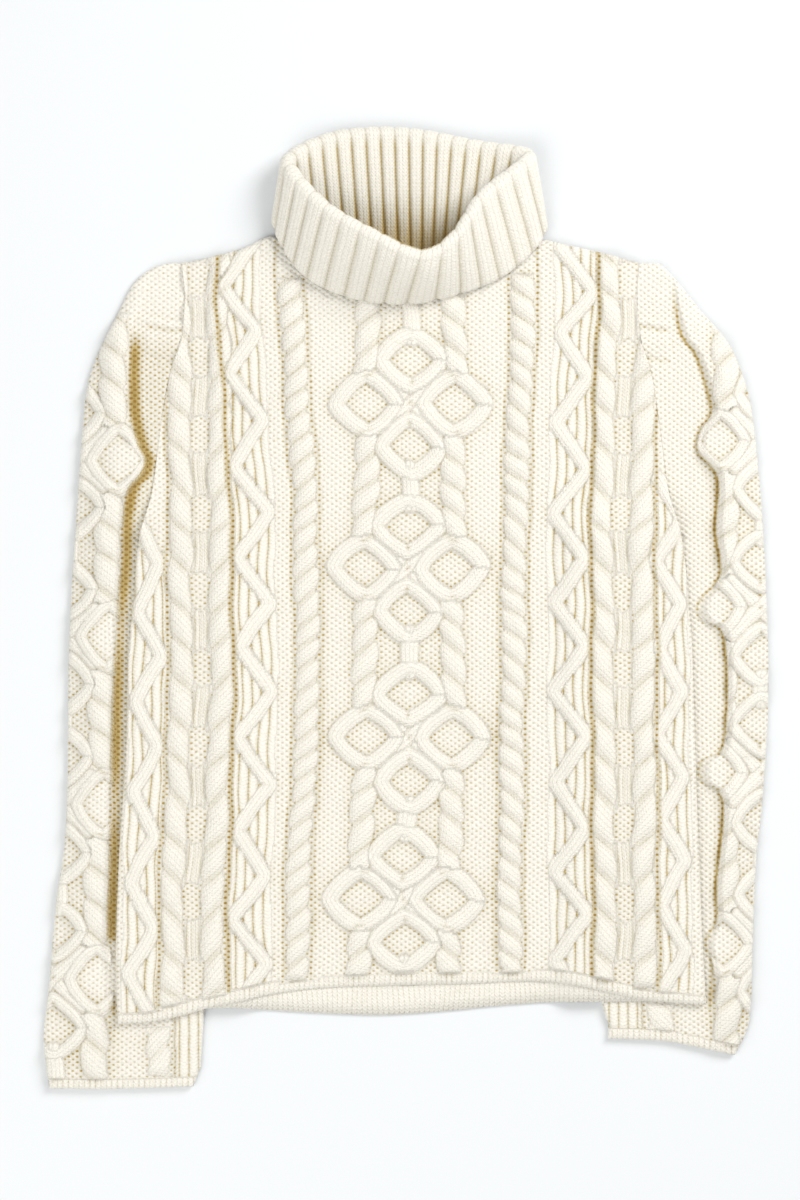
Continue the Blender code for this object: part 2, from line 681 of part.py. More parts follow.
def build_sleeve(name, side, outer, cuff, inner, crease, groups, parts, cutters, material):
    """Flattened hollow sleeve with its raised panel beside a long crease."""
    loop, open_edge = sleeve_outline(side, outer, cuff, inner)
    outer_rows = [(y, x) for x, y in outer]
    side_rows = [(row[0], row[1 if side < 0 else 2]) for row in SIDE_ROWS]
    middle_rows = [(y, x) for y, x in groups]

    def middle(y):
        return lookup(middle_rows, y, 1)

    def panel_rise(x, y):
        edge = lookup(outer_rows, y, 1)
        fold = lookup(crease, y, 1)
        share = (x - edge) / (fold - edge)
        up = ramp(share / PANEL_CREST) * (1.0 - ramp((share - PANEL_BROW) / (1.0 - PANEL_BROW)))
        return lookup(crease, y, 2) * up

    def visible(x, y):
        if not inside(loop, x, y) or edge_distance(loop, x, y) < 3.5:
            return False
        return y < hem_low or (x - lookup(side_rows, y, 1)) * side > 4.0

    hem_low = FRONT_HEM[0 if side < 0 else -1][1] - 2.6
    features = []
    for number, (y, _) in enumerate(groups):
        for path in lattice_paths(middle, y, sides=(-side,)):
            features.append(Strand(path, STRAND_HALF, SLEEVE_CABLE_HIGH))
        if number < len(groups) - 1:
            features += lattice_ropes(middle, y, SLEEVE_PERIOD, SLEEVE_CABLE_HIGH, sides=(-side,))
        for path in lattice_arms(middle, y):
            features.append(Strand(path, STRAND_HALF, SLEEVE_CABLE_HIGH))
    lines = []
    for feature in features:
        for line in feature.lines():
            lines += clip_path(line, visible)
    limit = [(lookup(side_rows, y, 1) + 2.6 * side, y) for y in range(48, int(hem_low) - 8, -14)]
    lines += clip_path(limit, lambda x, y: inside(loop, x, y) and edge_distance(loop, x, y) > 3.0)
    crease_lines = []
    for share in (PANEL_BROW, 1.0):
        path = []
        for y, fold, _ in crease[1:-1]:
            edge = lookup(outer_rows, y, 1)
            path.append((edge + (fold - edge) * share, y))
        crease_lines.append(path)

    def base(x, y):
        away = min(1.0, edge_distance(loop, x, y) / EDGE_ROUND)
        round_edge = math.sqrt(1.0 - (1.0 - away) ** 2)
        return SLEEVE_EDGE + (SLEEVE_FLAT - SLEEVE_EDGE) * round_edge + panel_rise(x, y)

    def top(x, y):
        rise = max(feature.height(x, y) for feature in features)
        return base(x, y) + (rise if visible(x, y) else 0.0)

    verts, faces = closed_sheet(
        loop, lines + crease_lines, [], top, lambda x, y: 0.0, 26.0, 60.0, 5.0)
    sleeve = new_object(name, verts, faces, parts, material)

    hollow = offset_loop(loop, [-8.0 if is_open else 4.0 for is_open in open_edge])

    def hollow_top(x, y):
        return max(base(x, y) - WALL, WALL + 0.5) if inside(loop, x, y) else WALL + SLEEVE_AIR

    verts, faces = closed_sheet(
        hollow, crease_lines, [], hollow_top, lambda x, y: WALL, 30.0, 60.0, 5.0)
    cutter = new_object("hollow_" + name, verts, faces, cutters, None)
    cutter.hide_render = True
    cutter.display_type = "WIRE"
    cut = sleeve.modifiers.new("hollow", "BOOLEAN")
    cut.operation = "DIFFERENCE"
    cut.solver = "EXACT"
    cut.object = cutter


# ---- collar ------------------------------------------------------------------------
def collar_profile(angle):
    """Middle of the cloth from the neck seam over the rim to the turned edge."""
    row = collar_row(angle)
    seam, rim, edge = (Vector((*row[k:k + 2], z)) for k, z in zip((0, 2, 4), (row[6], row[8], row[10])))
    stand = (seam + rim) / 2
    fold = (rim + edge) / 2
    stand.z, fold.z = row[7], row[9]
    down = ((stand + fold) / 2 - rim).normalized()
    apart = fold - stand
    apart = (apart - down * apart.dot(down)).normalized()
    centre = rim + down * ROLL_RADIUS
    roll = []
    for degrees in (0.0, 60.0, 120.0, 180.0):
        turn = math.radians(degrees)
        roll.append(centre - ROLL_RADIUS * (apart * math.cos(turn) + down * math.sin(turn)))

    def run(start, middle_z, end):
        points = []
        for share in (0.0, 1.0 / 3.0, 2.0 / 3.0, 1.0):
            point = start.lerp(end, share)
            bend = middle_z - 0.5 * (start.z + end.z)
            point.z += bend * 4.0 * share * (1.0 - share)
            points.append(point)
        return points

    up = run(seam, stand.z, roll[0])
    over = run(roll[-1], fold.z, edge)
    return up[:-1] + roll + over[1:]


def build_collar(parts, material):
    """Wide-ribbed collar, folded over on itself."""
    steps = ((0.0, 0.0), (0.2, 1.0), (0.8, 1.0))
    stations = []
    for rib in range(COLLAR_RIBS):
        for share, crest in steps:
            stations.append(((rib + share) * 360.0 / COLLAR_RIBS, crest))
    grid = [collar_profile(angle) for angle, _ in stations]
    rows, cols = len(grid), len(grid[0])
    shown, hidden = [], []
    for i in range(rows):
        for j in range(cols):
            around = grid[(i + 1) % rows][j] - grid[i - 1][j]
            along = grid[i][min(j + 1, cols - 1)] - grid[i][max(j - 1, 0)]
            normal = along.cross(around).normalized()
            rib = stations[i][1] * COLLAR_RIB_HIGH * ramp((normal.z + 0.35) / 0.5)
            outer = grid[i][j] + normal * (0.5 * COLLAR_WALL + rib)
            inner = grid[i][j] - normal * 0.5 * COLLAR_WALL
            outer.z = max(outer.z, 0.0)
            inner.z = max(inner.z, 0.0)
            shown.append(tuple(outer))
            hidden.append(tuple(inner))
    start = len(shown)
    faces = []
    for i in range(rows):
        k = (i + 1) % rows
        for j in range(cols - 1):
            a, b, c, d = i * cols + j, i * cols + j + 1, k * cols + j + 1, k * cols + j
            faces += [[a, b, c], [a, c, d]]
            faces += [[start + c, start + b, start + a], [start + d, start + c, start + a]]
        for j in (0, cols - 1):
            a, d = i * cols + j, k * cols + j
            if j:
                a, d = d, a
            faces += [[d, start + a, a], [d, start + d, start + a]]
    new_object("collar", shown + hidden, faces, parts, material)


# ---- scene -------------------------------------------------------------------------
def main():
    """Build every piece of the sweater."""
    for item in list(bpy.data.objects):
        bpy.data.objects.remove(item, do_unlink=True)
    parts = bpy.data.collections.new("cable_knit_sweater")
    cutters = bpy.data.collections.new("cutters")
    for collection in (parts, cutters):
        bpy.context.scene.collection.children.link(collection)
    shades = {"front": 1.0, "back": 0.95, "sleeve_left": 0.98, "sleeve_right": 0.98, "collar": 1.0}
    materials = {name: new_material("wool_" + name, shade) for name, shade in shades.items()}
    build_body(parts, materials)
    build_sleeve(
        "sleeve_left", -1, OUTER_LEFT, CUFF_LEFT, INNER_LEFT, CREASE_LEFT,
        SLEEVE_LATTICE_LEFT, parts, cutters, materials["sleeve_left"])
    build_sleeve(
        "sleeve_right", 1, OUTER_RIGHT, CUFF_RIGHT, INNER_RIGHT, CREASE_RIGHT,
        SLEEVE_LATTICE_RIGHT, parts, cutters, materials["sleeve_right"])
    build_collar(parts, materials["collar"])


main()
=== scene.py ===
"""Looks of the cable knit turtleneck sweater, laid flat and seen from straight above."""

import bpy
import numpy as np
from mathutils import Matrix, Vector


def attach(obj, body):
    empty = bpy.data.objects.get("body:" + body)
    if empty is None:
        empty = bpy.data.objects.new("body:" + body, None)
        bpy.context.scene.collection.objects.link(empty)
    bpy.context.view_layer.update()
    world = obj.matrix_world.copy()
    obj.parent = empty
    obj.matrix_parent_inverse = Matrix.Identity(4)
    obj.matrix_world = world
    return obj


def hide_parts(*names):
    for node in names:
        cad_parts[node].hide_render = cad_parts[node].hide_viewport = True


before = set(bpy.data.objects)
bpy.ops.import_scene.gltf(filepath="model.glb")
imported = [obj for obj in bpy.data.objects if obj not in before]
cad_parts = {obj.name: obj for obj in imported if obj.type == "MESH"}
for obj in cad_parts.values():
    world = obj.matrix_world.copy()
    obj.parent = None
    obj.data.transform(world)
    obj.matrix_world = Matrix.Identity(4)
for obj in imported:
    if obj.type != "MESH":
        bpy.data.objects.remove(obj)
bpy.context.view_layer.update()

# ---- sizes, millimetres ----
MM = 0.001
CENTRE = np.array((-0.8, -0.4, 0.0))  # middle of the outline, moved to the origin
WALL = 2.8  # plain knitted cloth
SEAM_GAP = 0.3  # clear space between two sewn pieces
SLEEVE_FLAT = 6.2  # a flattened sleeve
SLEEVE_EDGE = 3.1  # its folded edge
LIFT = SLEEVE_FLAT + SEAM_GAP  # how far a tucked sleeve raises the body
BEND_AIR = 1.0  # more air between the panels where they bend up
BEND_REACH = 26.0  # how far that air runs on beside a bend
LIFT_X = (112.0, 139.0)  # half widths where the body starts to rise and is up
LIFT_Y = (104.0, 57.0)  # the same for heights
UNDERARM_Y = 52.8  # end of the armhole seam
SHOULDER_Y = 275.2  # top of the side edges
EDGE_ROUND = 5.0  # width over which an edge rounds to full thickness
EDGE_THIN = 0.5  # cloth left at a rounded edge of the front

# Knitted relief: half widths, pitches and heights over the plain ground.
STRAND_HIGH = 3.0  # lattice strands
BAND_HALF = 5.8  # zigzag bands
BAND_HIGH = 2.1
ROPE_HALF = 10.2  # ropes of the front
ROPE_PITCH = 18.2
ROPE_HIGH = 4.6
TWIN_OFFSET = 15.6  # each half of a double cable from its middle
TWIN_HALF = 9.6
TWIN_PITCH = 31.2
TWIN_HIGH = 4.8
TWIN_RIB_PITCH = 4.4  # thin ribs between its halves
TWIN_OVAL = (9.5, 15.5)  # plain ovals between its halves, half width and half height
RIB_PITCH = 7.6  # ribs behind the zigzag bands
RIB_ZONE = 17.5  # half width of a ribbed zone
RIB_HIGH = 0.45
EDGING_PITCH = 5.6  # short ribs of the hem and cuff edging
FRONT_EDGING = 8.0  # heights of that edging
BACK_EDGING = 30.0
CUFF_EDGING = 7.0
# Its shape: rib height, softness of its upper end, line over it and the line's half width, dip
# and painted shade of that line, how ribbed it looks.
HEM_EDGE = (0.3, 2.0, 2.0, 1.5, 0.32, 0.13, 0.5)
CUFF_EDGE = (0.35, 1.2, 1.6, 1.3, 0.4, 0.18, 0.6)

# Points over each panel (rows, columns); the side out of sight has one in so many each way.
FRONT_POINTS, FRONT_SKIP = (270, 350), 8
BACK_POINTS, BACK_SKIP = (220, 300), 4
SLEEVE_POINTS, SLEEVE_SKIP = (560, 80), 6
SLEEVE_TUCKED = 12  # columns of a sleeve that lie under the body
SLEEVE_TOP = 275.0
SLEEVE_INSIDE = (10, 5)  # thinning of the flat space inside a sleeve
# Point spacing across the body: x, share of the usual spacing. It is finer where the body bends.
SPACING = (
    (-240, 1.0), (-150, 1.0), (-100, 1.0), (-68, 1.0), (-66, 0.6), (-61, 0.6), (-58, 1.0),
    (58, 1.0), (62, 0.6), (70, 0.6), (73, 1.0), (240, 1.0),
)
SPACING_X = (-206.0, 213.0)
# Small cables between two lattice groups: off the middle, half width, pitch, lean, height.
FRONT_ROPE = (35.0, 10.8, 22.5, 0.40, 4.4)
SLEEVE_ROPE = (31.5, 11.6, 28.0, 0.34, 4.8)
# Rings round the purl diamonds: half width, half height, off the group's middle.
FRONT_SIDE_RING = (25.0, 22.6, 34.6)
FRONT_END_RING = (24.4, 21.4, 34.6)
SLEEVE_SIDE_RING = (22.6, 25.6, 35.5)
SLEEVE_END_RING = (22.6, 22.0, 38.5)
RIGHT_SIDE_RING = (20.8, 22.6, 35.5)
RING_HALF = 6.9
SLEEVE_RING_HALF = 5.4
LATTICE_PERIOD = 132.6
SLEEVE_PERIOD = 140.6

# Side edges of the body: height, left x, right x.
SIDE_ROWS = (
    (275.2, -180.8, 186.4), (244.8, -178.4, 184.8), (212.8, -181.6, 188),
    (184.8, -191, 196.5), (140.8, -198.4, 203.2), (92.8, -204.5, 209.6),
    (52.8, -215, 220.6), (4.8, -219.2, 225.6), (-37.6, -223.2, 228.8),
    (-119.2, -225.4, 231.2), (-192, -230.4, 233.8), (-270.4, -233.2, 236.8),
    (-318, -232.4, 239.4), (-336, -231.8, 240.2),
)
# Shoulder, neck and hem edges: x, height.
SHOULDER_LEFT = (
    (-93.6, 291), (-101, 295.4), (-112, 296.4),
    (-131.2, 287.6), (-160.8, 279.2), (-180.8, 275.2),
)
SHOULDER_RIGHT = (
    (97, 289.4), (104, 293.4), (113.6, 293.6),
    (128, 290), (154.4, 284), (186.4, 275.2),
)
FRONT_NECK = (
    (-82, 281), (-69.6, 268.6), (-36, 255.8),
    (2.4, 251), (36, 255.8), (70.4, 268.6), (84, 279),
)
BACK_NECK = ((-81.6, 288), (-45.6, 281.2), (0, 279.6), (44, 281.2), (82.8, 287))
FRONT_HEM = (
    (-232, -335.2), (-204.8, -333.6), (-180, -328.4), (-156, -321.6),
    (-131.2, -316.8), (-107.2, -311.6), (-66.4, -306.8), (-16.8, -304.8),
    (52.8, -303.2), (100.8, -301.2), (130.4, -303.2), (159.2, -309.2),
    (188, -315.2), (227.2, -319.2), (240, -319.6),
)
BACK_HEM = (
    (-230, -333), (-190, -326), (-148, -322.4), (-115.2, -324.2),
    (-65.6, -327.2), (-16.8, -328.4), (32.8, -325.2), (72, -321.2),
    (110.4, -318.4), (140, -317.8), (190, -317), (238, -317.6),
)
# Long edges of the sleeves from the shoulder and the underarm down: x, height.
OUTER_LEFT = (
    (-181.2, 275.4), (-190.4, 275.4), (-205.6, 270.4), (-219.2, 259.2), (-231.2, 236.8),
    (-241.6, 216.8), (-250.4, 196.8), (-256.8, 175.2), (-260.8, 138.4),
    (-265.6, 68.8), (-271.2, -27.2), (-273.6, -172), (-281.6, -236.8),
    (-287.2, -302.4), (-291.6, -343.2), (-290, -367.2), (-287.2, -387.2),
)
INNER_LEFT = (
    (-215.3, 53), (-176, 43), (-152, 27), (-144, -5), (-147, -75),
    (-152, -155), (-157, -235), (-160.5, -299), (-163.2, -332),
    (-165.6, -372), (-171.2, -385.6),
)
OUTER_RIGHT = (
    (186.8, 275.6), (201.6, 275.2), (216.8, 260.8), (236.8, 236), (250.4, 220.8),
    (261.6, 204.8), (272.8, 175.2), (278.4, 145.6), (284.8, 79.2),
    (288.8, 4.8), (290.4, -59.2), (288.8, -107.2), (285.6, -155.2),
    (280.6, -203.2), (278.4, -251.2), (276, -321.6), (272.4, -341.6),
    (263.2, -360.4),
)
INNER_RIGHT = (
    (220.9, 53), (182, 43), (156, 27), (146.5, -5), (147, -75),
    (148.5, -155), (150.5, -235), (152.5, -290), (155.2, -316.8),
    (158, -332), (161.6, -346.4),
)
# Cuff edges: x, height.
CUFF_LEFT = ((-287.2, -387.2), (-229, -387.4), (-171.2, -385.6))
CUFF_RIGHT = ((161.6, -346.4), (206.4, -348.6), (230.4, -353.2), (263.2, -360.4))
# Crease beside each sleeve's panel: height, x, rise of the panel over the sleeve.
CREASE_LEFT = (
    (262, -206, 0.5), (229.2, -217, 2.5), (205.2, -220, 4.5), (157.2, -220, 6.5),
    (129.2, -213.6, 7.2), (117.2, -208.5, 7.4), (105.2, -212, 7.5), (93.2, -221.5, 7.5),
    (69.2, -225.6, 7.5), (37.2, -226.8, 7.3), (-2.8, -230, 7), (-75.2, -234, 7),
    (-195.2, -236.4, 7), (-267.2, -238.4, 6.5), (-323.2, -236, 4.5), (-387, -233, 0.8),
)
CREASE_RIGHT = (
    (262, 214, 0.6), (240, 217, 2), (217.2, 221.6, 3.4), (201.2, 232.8, 4.5),
    (177.2, 240.8, 5), (155.6, 244.8, 5.5), (141.2, 236, 5.5), (124, 234, 5.5),
    (102.8, 249.6, 5.5), (61.2, 248, 5.5), (26, 252, 5.5), (2, 235, 5.5),
    (-12, 238, 5.5), (-26.8, 255.2, 5.5), (-108.4, 255.2, 5.5), (-124, 238, 5.5),
    (-140, 237, 5.5), (-157.2, 254, 5.5), (-222.8, 248.8, 5), (-252, 249, 5),
    (-270, 241, 4.5), (-290, 246, 4), (-320, 244, 2.8), (-358, 242, 0.6),
)
PANEL_CREST = 0.6  # share of the panel's width at which it is up
PANEL_BROW = 0.84  # and at which it falls to the crease

# Middles of the knitted columns at four heights.
COLUMN_Y = (244.8, 84.8, -75.2, -235.2)
COLUMNS = {
    "twin_left": (-167.2, -165.6, -164.8, -172),
    "zigzag_left": (-135.2, -124, -120.8, -126.4),
    "rope_left": (-93.6, -81.6, -79.2, -88),
    "lattice": (3.2, 1.2, 2, -2.8),
    "rope_right": (93.6, 87.2, 84.8, 82.4),
    "zigzag_right": (136, 129.6, 130.4, 131.2),
    "twin_right": (177.6, 171.2, 173.6, 174.4),
    "edge_left": (-207.2, -207.2, -207.6, -213),
    "edge_right": (208.8, 209.6, 210.4, 213.6),
}
# Zigzag bands: column, first turn y, first side, half period, swing, last y.
ZIGZAGS = (
    ("zigzag_left", 294.4, 1, 36.4, 12.8, -296),
    ("zigzag_right", 289.9, -1, 35.9, 12.8, -292),
    ("edge_left", 33, 1, 36.4, 9.6, -318),
    ("edge_right", 69.6, 1, 34.4, 9.6, -308),
)
# Ropes: column, top, bottom, lean. Double cables: column, top, bottom, height of an oval.
ROPES = (("rope_left", 262.8, -300, 0.46), ("rope_right", 266.8, -298, -0.46))
TWINS = (("twin_left", 290, -322, 137), ("twin_right", 290, -306, 137))
# Lattice groups: height, x.
FRONT_GROUPS = ((162.4, 3.2), (30.4, 1), (-105.6, 2), (-235.2, -2.8))
# Dotted troughs beside the front's columns: column, shift, half width, depth (also of painted
# shade).
GROOVES = (
    ("zigzag_left", -17.6, 2.2, 0.75), ("zigzag_right", 17.6, 2.2, 0.75),
    ("rope_left", -11.6, 1.6, 0.45), ("rope_left", 11.6, 1.6, 0.40),
    ("rope_right", -11.6, 1.6, 0.40), ("rope_right", 11.6, 1.6, 0.45),
    ("twin_left", -27.2, 1.8, 0.55), ("twin_right", 27.2, 1.8, 0.60),
)
SLEEVE_LEFT_GROUPS = ((117.6, -267), (-24, -275), (-158.4, -278), (-299.2, -283))
SLEEVE_RIGHT_GROUPS = ((132.4, 287), (-1.7, 284), (-133.6, 284), (-270.8, 289))
# Sleeve details: a side ring; first ring's height and the rings' period; painted shade beside the
# crease and its width; painted shade on the strip beyond; painted dark line at the crease and its
# reach; top and end of the painted shade; the cuff's ribs from and to, then its cable's x, half
# width, top and bottom.
LEFT_DETAILS = {
    "ring": SLEEVE_SIDE_RING, "rings": (117.6, 139),
    "deep": 0.93, "width": 6, "strip": 0.22, "line": 0.18, "reach": 3.4,
    "top": 228, "end": -276,
    "cuff": (-186.4, -160, -199.4, 10.6, -338, -378),
}
RIGHT_DETAILS = {
    "ring": RIGHT_SIDE_RING, "rings": (132.4, 134.4),
    "deep": 0.34, "width": 2.4, "strip": 0.04, "line": 0.50, "reach": 1.4,
    "top": 262, "end": -330,
    "cuff": (188.8, 158, 204, 11, -318, -345),
}

# Collar every 30 degrees from the middle of the front round by the right: seam x, y,
# rim x, y, turned edge x, y, then heights: seam, stand, rim, fold, edge.
COLLAR_ROWS = (
    (2.4, 252.8, 11.2, 280.8, 0, 242.8, 4.6, 26, 48, 34.5, 8.8),
    (36, 257.6, 36.8, 295.2, 38.4, 249.2, 4.6, 24, 44, 31.5, 8.8),
    (70.4, 270.4, 58.4, 328, 76.8, 263.2, 4.6, 20, 37, 26, 9),
    (93.6, 290.4, 88, 352, 108, 292, 5, 16, 28, 20.5, 10.2),
    (82.8, 285.6, 96, 364, 104, 311.2, 4.4, 12.5, 17, 9.5, 4),
    (44, 280, 56.8, 371.2, 58.4, 299.2, 2.2, 7.6, 8, 2.4, 1.7),
    (0, 278.4, -1.6, 381.6, 0, 296, 1.7, 6.8, 5.6, 1.6, 1.6),
    (-45.6, 280, -55.2, 379.2, -56, 298.4, 2.2, 7.6, 8, 2.4, 1.7),
    (-81.6, 286.8, -91.2, 363.2, -100.8, 313.6, 4.4, 12.5, 18, 10, 4),
    (-90.4, 292.4, -91.2, 348.8, -104, 296, 5, 16, 28, 20.5, 10.2),
    (-69.6, 270.4, -64.8, 320, -81.6, 263.2, 4.6, 20, 37, 26, 9),
    (-36, 257.6, -28.8, 298.4, -42.4, 246, 4.6, 24, 44, 31.5, 8.8),
)
COLLAR_WALL = 3.0
COLLAR_RIBS = 33  # ribs all round
RIB_POINTS = 16  # points across a collar rib
COLLAR_PITCH = 13.6  # width of a collar rib in stitch sizes
COLLAR_RIB_HIGH = 2.4
COLLAR_INSET = 1.2  # ribs rise from below the solid's face
ROLL_RADIUS = 4.0  # roll over the rim
STAND_STEPS, ROLL_STEPS, FOLD_STEPS = 24, 13, 28
DEEP_Y = (340.0, 56.0)  # inside, shade grows below this height over this length

# Wool: its own colour, then painted shade colours by depth, then sizes of a purl bump (across,
# up) and of a knit stitch, which is wider in a rib.
WOOL_AND_SHADE_COLOURS = (
    (0.0, (0.88, 0.857, 0.792, 1.0)), (0.32, (0.67, 0.638, 0.545, 1.0)),
    (0.62, (0.50, 0.38, 0.155, 1.0)), (1.0, (0.30, 0.18, 0.03, 1.0)),
)
PURL_SIZE = (6.6, 4.57)
STITCH_UP, STITCH_ACROSS, RIB_WIDER = 2.9, 3.4, 4.2
TURN = 6.28318  # radians

# ---- camera, stage and light, metres and watts ----
CAMERA_PLACE = (-0.0048, 0.0052, 4.5)
FOCUS_FAR = 4.48  # from the camera down to the wool's middle
FRAME_TALL = 0.96  # height of the picture there
FLOOR_HALF = 4.0
FLOOR_COLOUR = (0.772, 0.80, 0.83, 1.0)
LIGHTS = (  # name, place, size, power, colour
    ("key", (1.6, 1.5, 1.7), 1.3, 54.0, (1.0, 0.985, 0.96)),
    ("fill", (-1.3, -1.2, 2.0), 2.6, 42.0, (1.0, 0.985, 0.95)),
)
SKY = ((1.0, 0.99, 0.965, 1.0), 0.52)


# ---- curves ----
def spline(a, b, c, d, t):
    """Points a share t of the way from b to c on a smooth curve by a, b, c and d."""
    curve = 2 * b + (c - a) * t + (2 * a - 5 * b + 4 * c - d) * t * t
    return 0.5 * (curve + (3 * b - a - 3 * c + d) * t ** 3)


def smooth(points, step=2.0):
    """Smooth curve through points, as rows of numbers about a step apart."""
    given = np.asarray(points, float)
    rows = np.vstack([given[:1], given, given[-1:]])
    out = [given[:1]]
    for i in range(1, len(rows) - 2):
        a, b, c, d = rows[i - 1:i + 3]
        count = max(1, round(float(np.linalg.norm((c - b)[:2])) / step))
        out.append(spline(a, b, c, d, (np.arange(1, count + 1) / count)[:, None]))
    return np.vstack(out)


def reader(points, step=2.0):
    """Function that reads the second number of a curve from the first."""
    path = smooth(points, step) if step else np.asarray(points, float)
    order = np.argsort(path[:, 0])
    return lambda value: np.interp(value, path[order, 0], path[order, 1])


def ramp(value):
    """Smooth step from 0 to 1."""
    value = np.clip(value, 0.0, 1.0)
    return value * value * (3.0 - 2.0 * value)


def round_over(away, reach):
    """Quarter circle rising from 0 at an edge to 1 a reach away."""
    return np.sqrt(np.clip(1.0 - (1.0 - np.clip(away / reach, 0.0, 1.0)) ** 2, 0.0, 1.0))


def blur(grid, rows, cols):
    """Soften a grid by a bell curve of given widths in cells."""
    out = grid
    for axis, width in ((0, rows), (1, cols)):
        reach = int(3 * width) + 1
        bell = np.exp(-0.5 * (np.arange(-reach, reach + 1) / max(width, 0.01)) ** 2)
        bell /= bell.sum()
        pad = [(0, 0), (0, 0)]
        pad[axis] = (reach, reach)
        wide = np.pad(out, pad, mode="edge")
        total = np.zeros_like(out)
        length = out.shape[axis]
        for k, share in enumerate(bell):
            total += share * (wide[k:k + length] if axis == 0 else wide[:, k:k + length])
        out = total
    return out


def along_path(x, y, path):
    """Distance along a path and signed distance off it."""
    path = np.asarray(path, float)
    best = np.full(x.shape, 1e9)
    s, t = np.zeros_like(x), np.full(x.shape, 1e9)
    start = 0.0
    for a, b in zip(path, path[1:]):
        d = b - a
        run = float(np.hypot(*d))
        share = ((x - a[0]) * d[0] + (y - a[1]) * d[1]) / (run * run)
        held = np.clip(share, 0.0, 1.0)
        ox, oy = x - a[0] - held * d[0], y - a[1] - held * d[1]
        away = np.hypot(ox, oy)
        near = away < best
        side = np.sign(d[0] * oy - d[1] * ox)
        best = np.where(near, away, best)
        s = np.where(near, start + held * run, s)
        t = np.where(near, side * away, t)
        start += run
    return s, t


def ring_path(centre, wide, tall):
    """Closed diamond path with soft corners."""
    turn = np.linspace(0.0, 2.0 * np.pi, 49)
    c, v = np.cos(turn), np.sin(turn)
    power = 2.0 / 1.34
    x = centre[0] + wide * np.sign(c) * np.abs(c) ** power
    y = centre[1] + tall * np.sign(v) * np.abs(v) ** power
    return np.column_stack([x, y])


